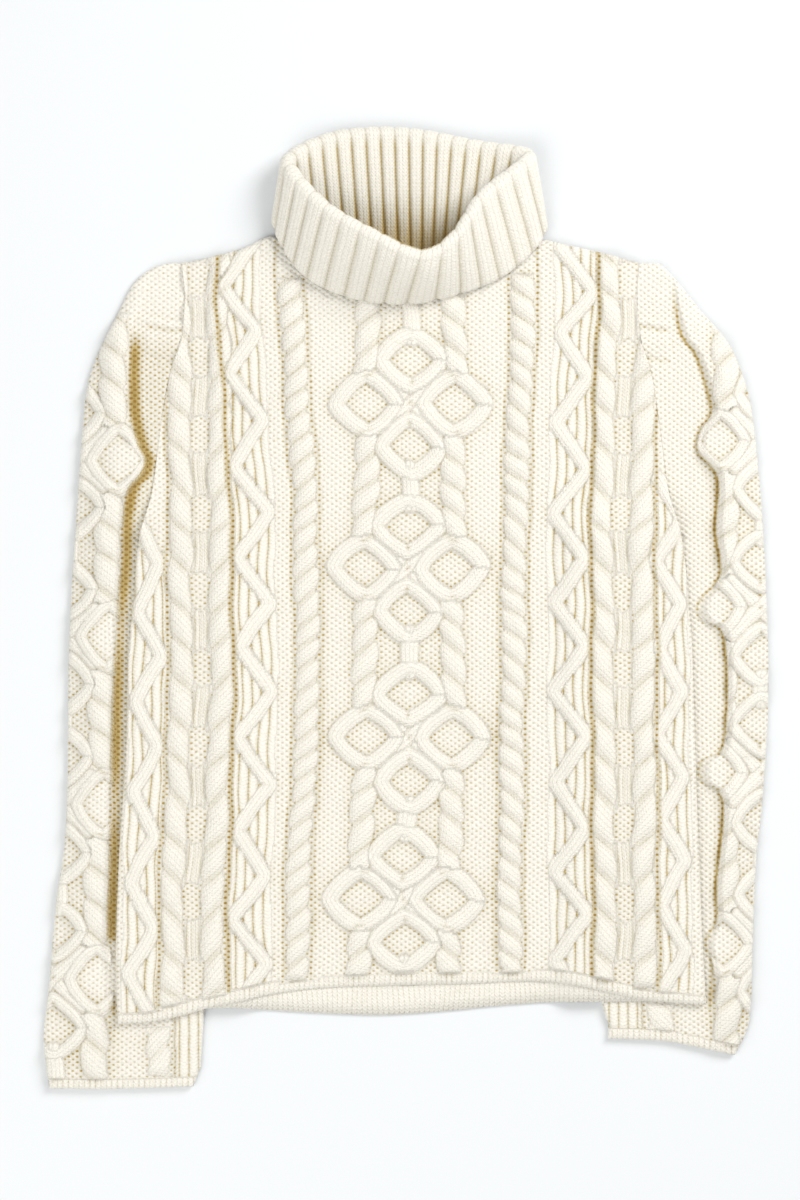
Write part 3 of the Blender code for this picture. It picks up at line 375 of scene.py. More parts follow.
# ---- knitted relief ----
class Knit:
    """Relief over a panel, the direction of the stitches on it, and painted shade in its hollows.
    """

    def __init__(self, x, y):
        sway_x = 0.9 * np.sin(y / 19.0 + 1.7 * np.sin(x / 31.0))
        sway_y = 0.8 * np.sin(x / 23.0 + 1.9 * np.sin(y / 37.0))
        self.x = x + sway_x + 0.5 * np.sin(y / 7.7 + x / 13.0)
        self.y = y + sway_y + 0.5 * np.sin(x / 9.1 - y / 17.0)
        self.high = np.zeros_like(x)
        self.s, self.t = self.y.copy(), self.x.copy()
        self.kind = np.zeros_like(x)
        self.rib = np.zeros_like(x)
        # Painted shade in troughs, creases and pits, darkening the wool's colour.
        self.deep = np.zeros_like(x)

    def put(self, where, high, s, t, kind=1.0):
        """Replace what is there."""
        self.high = np.where(where, high, self.high)
        self.s, self.t = np.where(where, s, self.s), np.where(where, t, self.t)
        self.kind = np.where(where, kind, self.kind)
        self.rib = np.where(where, 0.0, self.rib)

    def strand(self, path, half, high, over=0.0, press=0.5):
        """Soft rounded strand along a path that covers what is beneath it."""
        path = np.asarray(path, float)
        low, top = path.min(axis=0) - half - 3.0, path.max(axis=0) + half + 3.0
        near = (self.x > low[0]) & (self.x < top[0]) & (self.y > low[1]) & (self.y < top[1])
        s, t = np.zeros_like(self.x), np.full(self.x.shape, 1e9)
        s[near], t[near] = along_path(self.x[near], self.y[near], path)
        share = np.clip(np.abs(t) / half, 0.0, 1.0)
        bulge = 1.0 + 0.05 * np.sin(s / 2.9) + 0.06 * np.sin(s / 11.0 + path[0, 1])
        top = (high * bulge + over) * (1.0 - share ** 2.6)
        held = np.minimum(self.high, press * high)
        covers = (share < 1.0) & (top > held - 0.2)
        self.put(covers, np.maximum(top, held - 0.2), s, t)

    def rope(self, middle, top, bottom, half, pitch, lean, high, scallop=0.3, floor=0.2):
        """Twisted rope built of leaning lumps."""
        x, y = self.x, self.y
        centre = middle(y)
        share = (x - centre) / half
        bow = np.arcsin(np.clip(share, -1.0, 1.0)) / 1.5708
        turn = (top - y) / pitch + lean * (0.7 * bow + 0.3 * share) + 0.07 * np.sin(y / 15.0 + top)
        part = turn - np.floor(turn)
        lump = np.sin(np.pi * part) ** 0.75
        share = share / (1.0 - scallop + scallop * lump)
        across = np.clip(1.0 - np.abs(share) ** 2.6, 0.0, 1.0)
        ends = ramp((top - y) / 5.0) * ramp((y - bottom) / 5.0)
        rise = high * across * (floor + (1.0 - floor) * lump) * ends
        inside = (np.abs(share) < 1.0) & (y < top) & (y > bottom)
        tilt = np.arctan2(2.0 * lean * pitch, 2.0 * half)
        s = (x - centre) * np.cos(tilt) + y * np.sin(tilt)
        t = y * np.cos(tilt) - (x - centre) * np.sin(tilt)
        self.put(inside, np.maximum(rise, -0.2), s, t)
        # Painted shade in the grooves between the lumps.
        self.deep = np.where(inside, (1.0 - lump) ** 2.0 * 0.42 * np.sqrt(across), self.deep)

    def ribs(self, middle, top, bottom, zone):
        """Upright one-by-one ribs in a column."""
        x, y = self.x, self.y
        off = x - middle(y)
        wave = np.cos(2.0 * np.pi * off / RIB_PITCH)
        inside = (np.abs(off) < zone) & (y < top) & (y > bottom)
        fade = ramp((zone - np.abs(off)) / 1.5)
        self.put(inside, RIB_HIGH * wave * fade, y, off)
        self.rib = np.where(inside, 1.0, self.rib)

    def groove(self, middle, top, bottom, half, deep):
        """Narrow dotted trough between two columns, darkened by painted shade."""
        x, y = self.x, self.y
        fade = np.exp(-((x - middle(y)) / half) ** 2)
        fade = fade * ramp((top - y) / 8.0) * ramp((y - bottom) / 8.0)
        self.high = self.high - 1.3 * deep * fade
        self.kind = self.kind * (1.0 - fade)
        self.rib = self.rib * (1.0 - fade)
        self.deep = np.maximum(self.deep, deep * fade)

    def lattice(self, groups, period, high, rope, side_ring, end_ring, ring_half):
        """Groups of four ringed diamonds with crossing arms, joined by small ropes."""
        first, last = groups[0], groups[-1]
        ends = [(first[0] + period, first[1]), *groups, (last[0] - period, last[1])]
        middle = reader(ends, step=0)
        rope_x, rope_half, rope_pitch, lean, rope_high = rope
        reach = side_ring[1] - 2.0
        for (upper, _), (lower, _) in zip(ends, ends[1:]):
            for side in (-1, 1):
                self.rope(
                    lambda v, side=side: middle(v) + side * rope_x, upper - reach, lower + reach,
                    rope_half, rope_pitch, -lean * side, rope_high)
            gap = end_ring[2] + end_ring[1] - 3.0
            heights = np.linspace(upper - gap, lower + gap, 6)
            self.strand([(float(middle(v)), v) for v in heights], 8.0, high * 0.9)
        for y0, x0 in groups:
            for side in (-1, 1):
                arm = [(x0 + side * d, y0 + 0.94 * d) for d in np.linspace(-24.0, 24.0, 5)]
                self.strand(arm, 6.4, high * 0.7, over=0.2 * (side > 0))
            for side in (-1, 1):
                ring = ring_path((x0 + side * side_ring[2], y0), *side_ring[:2])
                self.strand(ring, ring_half, high, press=0.9)
            for side in (-1, 1):
                ring = ring_path((x0, y0 + side * end_ring[2]), *end_ring[:2])
                self.strand(ring, ring_half, high, over=0.15, press=0.9)
            # Pits down each group's middle, dipped and darkened by painted shade.
            for row in (0, 1, -1):
                pit_y = y0 + row * (end_ring[2] - end_ring[1] + 3.5)
                away = np.hypot(self.x - x0, self.y - pit_y)
                pit = np.exp(-(away / 1.7) ** 2)
                self.deep = np.maximum(self.deep, 0.5 * pit)
                self.high = self.high - 1.2 * pit

    def edging(self, x, y, up, high, shape):
        """Short ribs along a lower edge, up to a height, and a shallow line above them, darkened
        by painted shade.
        """
        rib_high, soft, line_up, line_half, dip, shade, rib = shape
        above = ramp((up - high) / soft)
        line = np.exp(-((up - high - line_up) / line_half) ** 2)
        wave = rib_high * np.cos(2.0 * np.pi * x / EDGING_PITCH)
        self.high = wave * (1.0 - above) + self.high * above - dip * line
        inside = up < high + 1.0
        self.s = np.where(inside, y, self.s)
        self.t = np.where(inside, x * RIB_PITCH / EDGING_PITCH, self.t)
        self.kind = np.where(inside, 1.0, self.kind)
        self.rib = np.where(inside, rib, self.rib)
        self.deep = np.maximum(self.deep * above, shade * line)

    def values(self, row_step, col_step, line=0.0):
        """Stitch and shade values, with painted shade where a point lies below what stands around
        it.
        """
        near = blur(self.high, 2.6 / row_step, 2.6 / col_step) - self.high
        wide = blur(self.high, 8.0 / row_step, 8.0 / col_step) - self.high
        shade = np.maximum(np.clip(0.22 * near + 0.11 * wide, 0.0, 0.7), self.deep)
        line = np.broadcast_to(line, shade.shape)
        return np.stack([self.s, self.t, self.kind], -1), np.stack([shade, self.rib, line], -1)


def column(name):
    """Middle of a front column as a function of height."""
    return reader(list(zip(COLUMN_Y, COLUMNS[name])), step=0)


# ---- meshes ----
def add_piece(name, verts, faces, knit_values, shade_values, material, slot_name, node):
    """Object in metres with its stitch attributes, standing for a CAD node."""
    mesh = bpy.data.meshes.new(name)
    placed = (np.asarray(verts) - CENTRE) * MM
    sizes = np.array([len(face) for face in faces], dtype=np.int32)
    corners = np.fromiter(
        (i for face in faces for i in face), dtype=np.int32, count=int(sizes.sum()))
    mesh.vertices.add(len(placed))
    mesh.vertices.foreach_set("co", placed.astype(np.float32).ravel())
    mesh.loops.add(len(corners))
    mesh.loops.foreach_set("vertex_index", corners)
    mesh.polygons.add(len(sizes))
    starts = np.concatenate([[0], np.cumsum(sizes)[:-1]]).astype(np.int32)
    mesh.polygons.foreach_set("loop_start", starts)
    mesh.update(calc_edges=True)
    mesh.validate()
    mesh.shade_smooth()
    for title, values in (("knit", knit_values), ("shade", shade_values)):
        layer = mesh.attributes.new(title, "FLOAT_VECTOR", "POINT")
        layer.data.foreach_set("vector", np.asarray(values, dtype=np.float32).ravel())
    mesh.materials.append(material)
    piece = bpy.data.objects.new(name, mesh)
    bpy.context.scene.collection.objects.link(piece)
    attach(piece, "root")
    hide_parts(node)
    return piece


def border(grid):
    """Numbers round the edge of a grid."""
    return [int(i) for i in (*grid[0, :-1], *grid[:-1, -1], *grid[-1, :0:-1], *grid[:0:-1, 0])]


def slab(top, low, knit_values, shade_values, skip, flip=False, low_kind=0.0):
    """Closed shell from a fine grid and a coarse grid opposite it, joined by a rim."""
    low_values = knit_values.copy()
    low_values[:, :, 2] = low_kind
    rows, cols = top.shape[:2]
    index = np.arange(rows * cols).reshape(rows, cols)
    quads = np.stack([index[:-1, :-1], index[:-1, 1:], index[1:, 1:], index[1:, :-1]], -1)
    faces = quads.reshape(-1, 4).tolist()
    keep = np.zeros((rows, cols), bool)
    keep[[0, -1]] = keep[:, [0, -1]] = True
    row_stops = [*range(0, rows - 1, skip), rows - 1]
    col_stops = [*range(0, cols - 1, skip), cols - 1]
    keep[np.ix_(row_stops, col_stops)] = True
    second = np.full((rows, cols), -1)
    second[keep] = rows * cols + np.arange(int(keep.sum()))
    for r0, r1 in zip(row_stops, row_stops[1:]):
        for c0, c1 in zip(col_stops, col_stops[1:]):
            face = border(second[r0:r1 + 1, c0:c1 + 1])
            faces.append([i for i in reversed(face) if i >= 0])
    rim = list(zip(border(index), border(second)))
    for (a, b), (c, d) in zip(rim, rim[1:] + rim[:1]):
        faces.append([c, a, b, d])
    if flip:
        faces = [face[::-1] for face in faces]
    verts = np.vstack([top.reshape(-1, 3), low[keep]])
    return (
        verts, faces,
        np.vstack([knit_values.reshape(-1, 3), low_values[keep]]),
        # Painted shade, weaker on the coarse side.
        np.vstack([shade_values.reshape(-1, 3), shade_values[keep] * (0.4, 1.0, 1.0)]),
    )


# ---- body ----
def lift(x, y):
    """How far the body is raised by a sleeve tucked beneath it."""
    across = ramp((np.abs(x) - LIFT_X[0]) / (LIFT_X[1] - LIFT_X[0]))
    return LIFT * across * ramp((LIFT_Y[0] - y) / (LIFT_Y[0] - LIFT_Y[1]))


def bend(x, y):
    """1 where the body bends up on to a sleeve, 0 where it lies flat."""
    off_x = np.maximum(np.maximum(LIFT_X[0] - np.abs(x), np.abs(x) - LIFT_X[1]), 0.0)
    off_y = np.maximum(np.maximum(LIFT_Y[1] - y, y - LIFT_Y[0]), 0.0)
    beside = np.where(y < LIFT_Y[0], 1.0 - np.minimum(1.0, off_x / BEND_REACH), 0.0)
    above = np.where(np.abs(x) > LIFT_X[0], 1.0 - np.minimum(1.0, off_y / BEND_REACH), 0.0)
    return np.maximum(beside, above)


def body_side(side):
    """Reader of the body's side edge, x from height."""
    return reader([(row[0], row[1 if side < 0 else 2]) for row in SIDE_ROWS])


def body_grid(neck, hem, points):
    """Points over a body panel, and their distances from its edges."""
    left, right = body_side(-1), body_side(1)
    top, low = reader([*SHOULDER_LEFT[::-1], *neck, *SHOULDER_RIGHT], step=1.0), reader(hem)
    fine = np.linspace(0.0, 1.0, 2001)
    at = SPACING_X[0] + fine * (SPACING_X[1] - SPACING_X[0])
    weight = np.interp(at, [row[0] for row in SPACING], [row[1] for row in SPACING])
    total = np.concatenate([[0.0], np.cumsum(0.5 * (weight[1:] + weight[:-1]))])
    a = np.interp(np.linspace(0.0, total[-1], points[1]), total, fine)[None, :]
    b = np.linspace(0.0, 1.0, points[0])[:, None]
    y_left = hem[0][1] + b * (SHOULDER_Y - hem[0][1])
    y_right = hem[-1][1] + b * (SHOULDER_Y - hem[-1][1])
    x = (1.0 - a) * left(y_left) + a * right(y_right)
    x_low = hem[0][0] + a * (hem[-1][0] - hem[0][0])
    x_top = SIDE_ROWS[0][1] + a * (SIDE_ROWS[0][2] - SIDE_ROWS[0][1])
    x = x + (1.0 - b) ** 8 * (x_low - ((1.0 - a) * left(y_left[0]) + a * right(y_right[0])))
    y = (1.0 - b) * low(x_low) + b * top(x_top)
    away_x = np.minimum(x - x[:, :1], x[:, -1:] - x)
    away_y = np.minimum(y - y[:1], y[-1:] - y)
    return x, y, np.minimum(away_x, away_y)


def double_cable(knit, name, top, bottom, oval):
    """Two leaning halves with thin ribs and plain ovals between them."""
    middle = column(name)
    y, off = knit.y, knit.x - middle(knit.y)
    spacing = 2.0 * TWIN_PITCH
    rows = (y < top) & (y > bottom)
    rib = 0.5 * np.cos(2.0 * np.pi * (np.abs(off) - 0.5 * TWIN_RIB_PITCH) / TWIN_RIB_PITCH)
    knit.put((np.abs(off) < 7.0) & rows, rib, y, off * RIB_PITCH / TWIN_RIB_PITCH)
    knit.rib = np.where((np.abs(off) < 5.2) & rows, 0.7, knit.rib)
    cell = (y - oval) / spacing - np.round((y - oval) / spacing)
    inside = (np.hypot(off / TWIN_OVAL[0], cell * spacing / TWIN_OVAL[1]) < 1.0) & rows
    knit.put(inside, -0.3, y, knit.x, kind=0.0)
    for side in (-1, 1):
        def half_middle(v, side=side):
            part = (v - oval) / spacing - np.round((v - oval) / spacing)
            return middle(v) + side * (TWIN_OFFSET + 1.4 * np.exp(-(part * spacing / 12.0) ** 2))
        knit.rope(
            half_middle, oval + 5.5 * TWIN_PITCH + 4.0, bottom, TWIN_HALF, TWIN_PITCH,
            side * 0.30, TWIN_HIGH, scallop=0.26, floor=0.12)


def zigzag_band(knit, name, first_y, side, half_period, swing, last_y):
    """Band that swings from side to side of a ribbed column."""
    middle = column(name)
    turns, at = [], first_y + half_period
    side = -side
    while at > last_y - half_period:
        turns.append((float(middle(at)) + side * swing, at))
        side, at = -side, at - half_period
    turns, path = np.array(turns), []
    for a, b in zip(turns, turns[1:]):
        path += [a * (1 - k) + b * k for k in (0.04, 0.5, 0.96)]
    knit.strand(smooth(path, 3.0), BAND_HALF, BAND_HIGH)


def front_knit(x, y, hem, edging_high):
    """All the knitted columns of a body panel above its hem edging."""
    knit = Knit(x, y)
    for name, first_y, _, _, _, last_y in ZIGZAGS:
        zone = RIB_ZONE if name.startswith("zigzag") else RIB_ZONE - 2.0
        knit.ribs(column(name), first_y + 12.0, last_y - 40.0, zone)
    for name, top, bottom, lean in ROPES:
        knit.rope(column(name), top, bottom, ROPE_HALF, ROPE_PITCH, lean, ROPE_HIGH)
    for row in TWINS:
        double_cable(knit, *row)
    knit.lattice(
        FRONT_GROUPS, LATTICE_PERIOD, STRAND_HIGH, FRONT_ROPE, FRONT_SIDE_RING, FRONT_END_RING,
        RING_HALF)
    for row in ZIGZAGS:
        zigzag_band(knit, *row)
    for name, shift, half, deep in GROOVES:
        middle = column(name)
        knit.groove(lambda v, m=middle, d=shift: m(v) + d, 300.0, -330.0, half, deep)
    up = knit.y - reader(hem)(knit.x)
    knit.edging(knit.x, knit.y, up, edging_high, HEM_EDGE)
    return knit


def build_front(wool):
    """Front panel, bent up over the tucked sleeves."""
    x, y, away = body_grid(FRONT_NECK, FRONT_HEM, FRONT_POINTS)
    knit = front_knit(x, y, FRONT_HEM, FRONT_EDGING)
    base = lift(x, y) + WALL + SEAM_GAP + BEND_AIR * bend(x, y)
    wave = 0.5 * np.sin(x / 37.0 + y / 61.0) + 0.4 * np.sin(x / 23.0 - y / 47.0 + 1.3)
    away = away + 4.0 * ramp((y - UNDERARM_Y) / 12.0) * (np.abs(x) > 150.0)
    edge = round_over(away, EDGE_ROUND)
    knit.high = np.maximum(knit.high, -1.9) * (0.25 + 0.75 * edge)
    z = base + EDGE_THIN + (WALL - EDGE_THIN) * edge + knit.high + wave * edge
    top, low = np.stack([x, y, z], -1), np.stack([x, y, base], -1)
    parts = slab(top, low, *knit.values(2.2, 1.25), FRONT_SKIP)
    front = add_piece("front_panel", *parts, wool["wool_body"], "wool_body", "front")


def build_back(wool):
    """Back panel, lying on its knitted face."""
    x, y, away = body_grid(BACK_NECK, BACK_HEM, BACK_POINTS)
    knit = front_knit(-x, y, BACK_HEM, BACK_EDGING)
    edge = round_over(away, EDGE_ROUND)
    press = (3.4 - np.clip(knit.high, -1.0, 3.4)) * 0.28
    z_low = lift(x, y) + press * edge + 1.0 * (1.0 - edge)
    z_top = lift(x, y) + WALL - 1.2 * (1.0 - edge)
    low, top = np.stack([x, y, z_low], -1), np.stack([x, y, z_top], -1)
    inner_kind = np.where(y - reader(BACK_HEM)(x) < BACK_EDGING + 1.0, 1.0, 0.0)
    parts = slab(
        low, top, *knit.values(2.8, 1.5), BACK_SKIP, flip=True, low_kind=inner_kind)
    back = add_piece("back_panel", *parts, wool["wool_body"], "wool_body", "back")


# ---- sleeves ----
def hollow(parts, x, y, upper, lower):
    """Closed shell with the flat space inside a tube added to it."""
    verts, faces, knit_values, shade = parts
    row_skip, col_skip = SLEEVE_INSIDE
    take = np.ix_(range(5, x.shape[0] - 5, row_skip), range(3, x.shape[1] - 3, col_skip))
    sheets = [np.stack([x[take], y[take], z[take]], -1) for z in (upper, lower)]
    rows, cols = sheets[0].shape[:2]
    count = rows * cols
    index = len(verts) + np.arange(count).reshape(rows, cols)
    quads = np.stack([index[:-1, :-1], index[1:, :-1], index[1:, 1:], index[:-1, 1:]], -1)
    quads = quads.reshape(-1, 4)
    ring = border(index)
    inside = quads.tolist() + (quads[:, ::-1] + count).tolist()
    inside += [[a, b, b + count, a + count] for a, b in zip(ring, ring[1:] + ring[:1])]
    if x[0, -1] < x[0, 0]:
        inside = [face[::-1] for face in inside]
    blank = np.zeros((2 * count, 3))
    verts = np.vstack([verts] + [sheet.reshape(-1, 3) for sheet in sheets])
    return verts, faces + inside, np.vstack([knit_values, blank]), np.vstack([shade, blank])


def sleeve_grid(side, outer, inner, cuff):
    """Points over a sleeve, x of its outer edge, and the points' distances from its edges."""
    body_edge = body_side(side)
    out_line = reader([(y, x) for x, y in outer], step=1.0)
    y_low = cuff[0][1] if side < 0 else cuff[-1][1]
    heights = np.linspace(SLEEVE_TOP, y_low, SLEEVE_POINTS[0])
    seam = [(v, float(body_edge(v))) for v in np.arange(SLEEVE_TOP, UNDERARM_Y + 1.0, -6.0)]
    in_line = reader(seam + [(y, x) for x, y in inner], step=0)
    x_out, x_in = out_line(heights), in_line(heights)
    # Most columns lie in view, up to the armhole seam or a little under the body's edge.
    whole = np.maximum(ramp((heights - UNDERARM_Y) / 30.0), ramp((-296.0 - heights) / 24.0))
    x_seen = (x_out + (x_in - x_out) * 0.88) * whole
    x_seen = x_seen + (body_edge(heights) - side * 9.0) * (1.0 - whole)
    x_out, x_in, x_seen = x_out[:, None], x_in[:, None], x_seen[:, None]
    seen = np.linspace(0.0, 1.0, SLEEVE_POINTS[1] - SLEEVE_TUCKED + 1)[None, :]
    tucked = np.linspace(0.0, 1.0, SLEEVE_TUCKED)[None, 1:]
    x = np.hstack([x_out + (x_seen - x_out) * seen, x_seen + (x_in - x_seen) * tucked])
    # The lower rows turn to follow the cuff.
    bottom, start = reader(cuff), -250.0
    y = np.repeat(heights[:, None], x.shape[1], axis=1)
    follow = ramp((start - y) / 130.0) * np.clip((y - start) / (y_low - start), 0, 1)
    y = y + follow * (bottom(x) - y_low)
    sewn = 6.0 * ramp((y - UNDERARM_Y) / 12.0)
    away = np.minimum(np.abs(x - x_out), np.abs(x_in - x) + sewn)
    return x, y, x_out, np.minimum(away, (y - bottom(x)) + 1.0)


def crease_shade(knit, y, side, beyond, details):
    """Plain strip beyond the crease, painted shade beside it; gives the painted dark line at the
    crease.
    """
    strip = beyond > 0.5
    knit.high = np.where(strip, np.minimum(knit.high, 0.0), knit.high)
    knit.kind = np.where(strip, 0.0, knit.kind)
    # Painted shade along the crease, stronger between the rings, and fainter on the strip beyond.
    along = ramp((details["top"] - y) / 30.0) * ramp((y - details["end"]) / 12.0)
    along = np.maximum(along, 0.9 * np.exp(-((y + 323.0) / 7.0) ** 2) * (side < 0))
    first_ring, ring_period = details["rings"]
    between = 0.5 - 0.5 * np.cos(2.0 * np.pi * (y - first_ring) / ring_period)
    depth = np.maximum(0.62 + 0.32 * between, ramp((y - 50.0) / 30.0)) + 0.06 * np.sin(y / 11.0)
    valley_shade = details["deep"] * depth * np.exp(-((beyond - 2.0) / details["width"]) ** 2)
    valley_shade = np.maximum(valley_shade, details["strip"] * (beyond > 2.0)) * (beyond > -3.0)
    knit.deep = np.maximum(np.where(strip, 0.0, knit.deep), valley_shade * along)
    uneven = (0.5 + 0.5 * between) * (0.86 + 0.14 * np.sin(y / 11.0 + 2.0 * np.sin(y / 29.0)))
    line = np.exp(-((beyond - 1.2) / details["reach"]) ** 2)
    return details["line"] * line * along * uneven


def cuff_columns(knit, x, y, side, beyond, cuff):
    """Ribs and a small cable near the inner end of a cuff, with a groove beside the ribs."""
    ribs_from, ribs_to, rope_x, rope_half, rope_top, rope_low = cuff
    below = y < rope_top + 16.0
    in_ribs = below & ((x - ribs_from) * (x - ribs_to) < 0)
    wave = np.cos(2.0 * np.pi * (x - ribs_from) / RIB_PITCH)
    knit.put(in_ribs, 0.5 * wave, y, x - ribs_from)
    knit.rib = np.where(in_ribs, 1.0, knit.rib)
    knit.rope(
        lambda v: np.full_like(v, rope_x), rope_top, rope_low, rope_half, 22.0, -0.5 * side, 3.0,
        floor=0.4)
    # Less painted shade on the strip by the cuff's columns, and painted shade in the trough beside
    # the ribs.
    knit.deep = np.where(below & (beyond > 2.0), knit.deep * 0.5, knit.deep)
    trough = np.exp(-((x - ribs_from) / 1.5) ** 2) * below
    knit.high = knit.high - 0.8 * trough
    knit.deep = np.maximum(knit.deep, 0.5 * trough)


def shoulder_rows(knit, x, y):
    """Plain patch beside the armhole seam near the shoulder, and the welt below it."""
    beside_seam = ramp((214.0 - np.abs(x) + 1.5 * np.sin(y / 9.0)) / 6.0)
    patch = ramp((y - 197.0) / 5.0) * beside_seam
    knit.high = knit.high * (1.0 - patch) + 1.8 * patch * np.exp(-((y - 212.0) / 9.0) ** 2)
    knit.kind = knit.kind * (1.0 - patch)
    welt_y = 227.0 + 1.5 * np.sin(x / 7.0)
    welt = np.exp(-((y - welt_y) / 2.8) ** 2) * beside_seam
    line = np.exp(-((y - welt_y + 4.6) / 1.8) ** 2)
    line = (line + 0.7 * np.exp(-((y - welt_y + 29.0) / 2.2) ** 2)) * beside_seam
    knit.high = knit.high + 1.5 * welt - 0.8 * line
    # Painted shade in the lines below the welt and at the patch's foot.
    knit.deep = np.maximum(knit.deep, 0.30 * line)


def build_sleeve(name, side, outer, inner, cuff, crease, groups, details, wool):
    """Flattened sleeve with its lattice panel beside a long crease."""
    x, y, x_out, away = sleeve_grid(side, outer, inner, cuff)
    crease_x = reader(crease)(y)
    share = (x - x_out) / (crease_x - x_out)
    rise = ramp(share / PANEL_CREST) * (1.0 - ramp((share - PANEL_BROW) / (1.0 - PANEL_BROW)))
    rise = rise * reader([(row[0], row[2]) for row in crease])(y)
    beyond = (x - crease_x) * -side

    knit = Knit(x, y)
    knit.lattice(
        groups, SLEEVE_PERIOD, STRAND_HIGH, SLEEVE_ROPE, details["ring"], SLEEVE_END_RING,
        SLEEVE_RING_HALF)
    line = crease_shade(knit, y, side, beyond, details)
    cuff_columns(knit, x, y, side, beyond, details["cuff"])
    shoulder_rows(knit, x, y)
    knit.edging(x, y, y - reader(cuff)(x), CUFF_EDGING, CUFF_EDGE)

    edge = round_over(away, EDGE_ROUND)
    base = SLEEVE_EDGE + (SLEEVE_FLAT - SLEEVE_EDGE) * edge + rise
    under_body = ramp(((x - body_side(side)(y)) * -side - 1.0) / 5.0)
    under_body = under_body * (y < UNDERARM_Y) * (y > -318.0)
    relief = knit.high * (0.3 + 0.7 * edge) * (1.0 - under_body)
    low = SLEEVE_EDGE * (1.0 - round_over(away, 4.0))
    knit.high = relief + rise * 0.25
    parts = slab(
        np.stack([x, y, base + relief], -1), np.stack([x, y, low], -1),
        *knit.values(1.18, 0.95, line), SLEEVE_SKIP, flip=side < 0)
    middle = 0.5 * (base + low)
    upper = np.maximum(base - WALL, middle + 0.15)
    lower = np.minimum(low + WALL, middle - 0.15)
    parts = hollow(parts, x, y, upper, lower)
    piece = add_piece(name + "_knit", *parts, wool["wool_sleeves"], "wool_sleeves", name)


# ---- collar ----
def collar_rows(angles):
    """Collar table rows at any angles, in degrees from the middle of the front."""
    table = np.array(COLLAR_ROWS)
    place = (angles % 360.0) / 30.0
    i = place.astype(int)
    return spline(*(table[(i + k) % len(table)] for k in (-1, 0, 1, 2)), (place - i)[:, None])


def collar_angles(place):
    """Angles of places counted in ribs, spread by the rim's length."""
    fine = np.linspace(0.0, 360.0, 721)
    rim = collar_rows(fine)[:, [2, 3, 8]]
    run = np.linalg.norm(np.diff(rim, axis=0), axis=1)
    run *= 1.0 - 0.18 * np.cos(np.radians(fine[1:]))
    gone = np.concatenate([[0.0], np.cumsum(run)])
    return np.interp(place / COLLAR_RIBS, gone / gone[-1], fine)


def bowed_run(start, height, end, count):
    """Rows of points from start to end, bowed so that the middle one has the given height."""
    out = []
    for share in np.linspace(0.0, 1.0, count):
        points = start + (end - start) * share
        points[:, 2] += (height - 0.5 * (start[:, 2] + end[:, 2])) * 4.0 * share * (1.0 - share)
        out.append(points)
    return out


def collar_grid(rows):
    """Middle of the cloth from the neck seam over the rim to the turned edge."""
    seam = np.column_stack([rows[:, 0:2], rows[:, 6]])
    rim = np.column_stack([rows[:, 2:4], rows[:, 8]])
    edge = np.column_stack([rows[:, 4:6], rows[:, 10]])
    stand, fold = (seam + rim) / 2, (rim + edge) / 2
    stand[:, 2], fold[:, 2] = rows[:, 7], rows[:, 9]
    down = (stand + fold) / 2 - rim
    down /= np.linalg.norm(down, axis=1)[:, None]
    apart = fold - stand
    apart = apart - down * np.sum(apart * down, axis=1)[:, None]
    apart /= np.linalg.norm(apart, axis=1)[:, None]
    centre = rim + down * ROLL_RADIUS
    roll = []
    for turn in np.radians(np.linspace(0.0, 180.0, ROLL_STEPS)):
        roll.append(centre - ROLL_RADIUS * (apart * np.cos(turn) + down * np.sin(turn)))
    up = bowed_run(seam, rows[:, 7], roll[0], STAND_STEPS)
    over = bowed_run(roll[-1], rows[:, 9], edge, FOLD_STEPS)
    return np.stack(up[:-1] + roll + over[1:], 1)


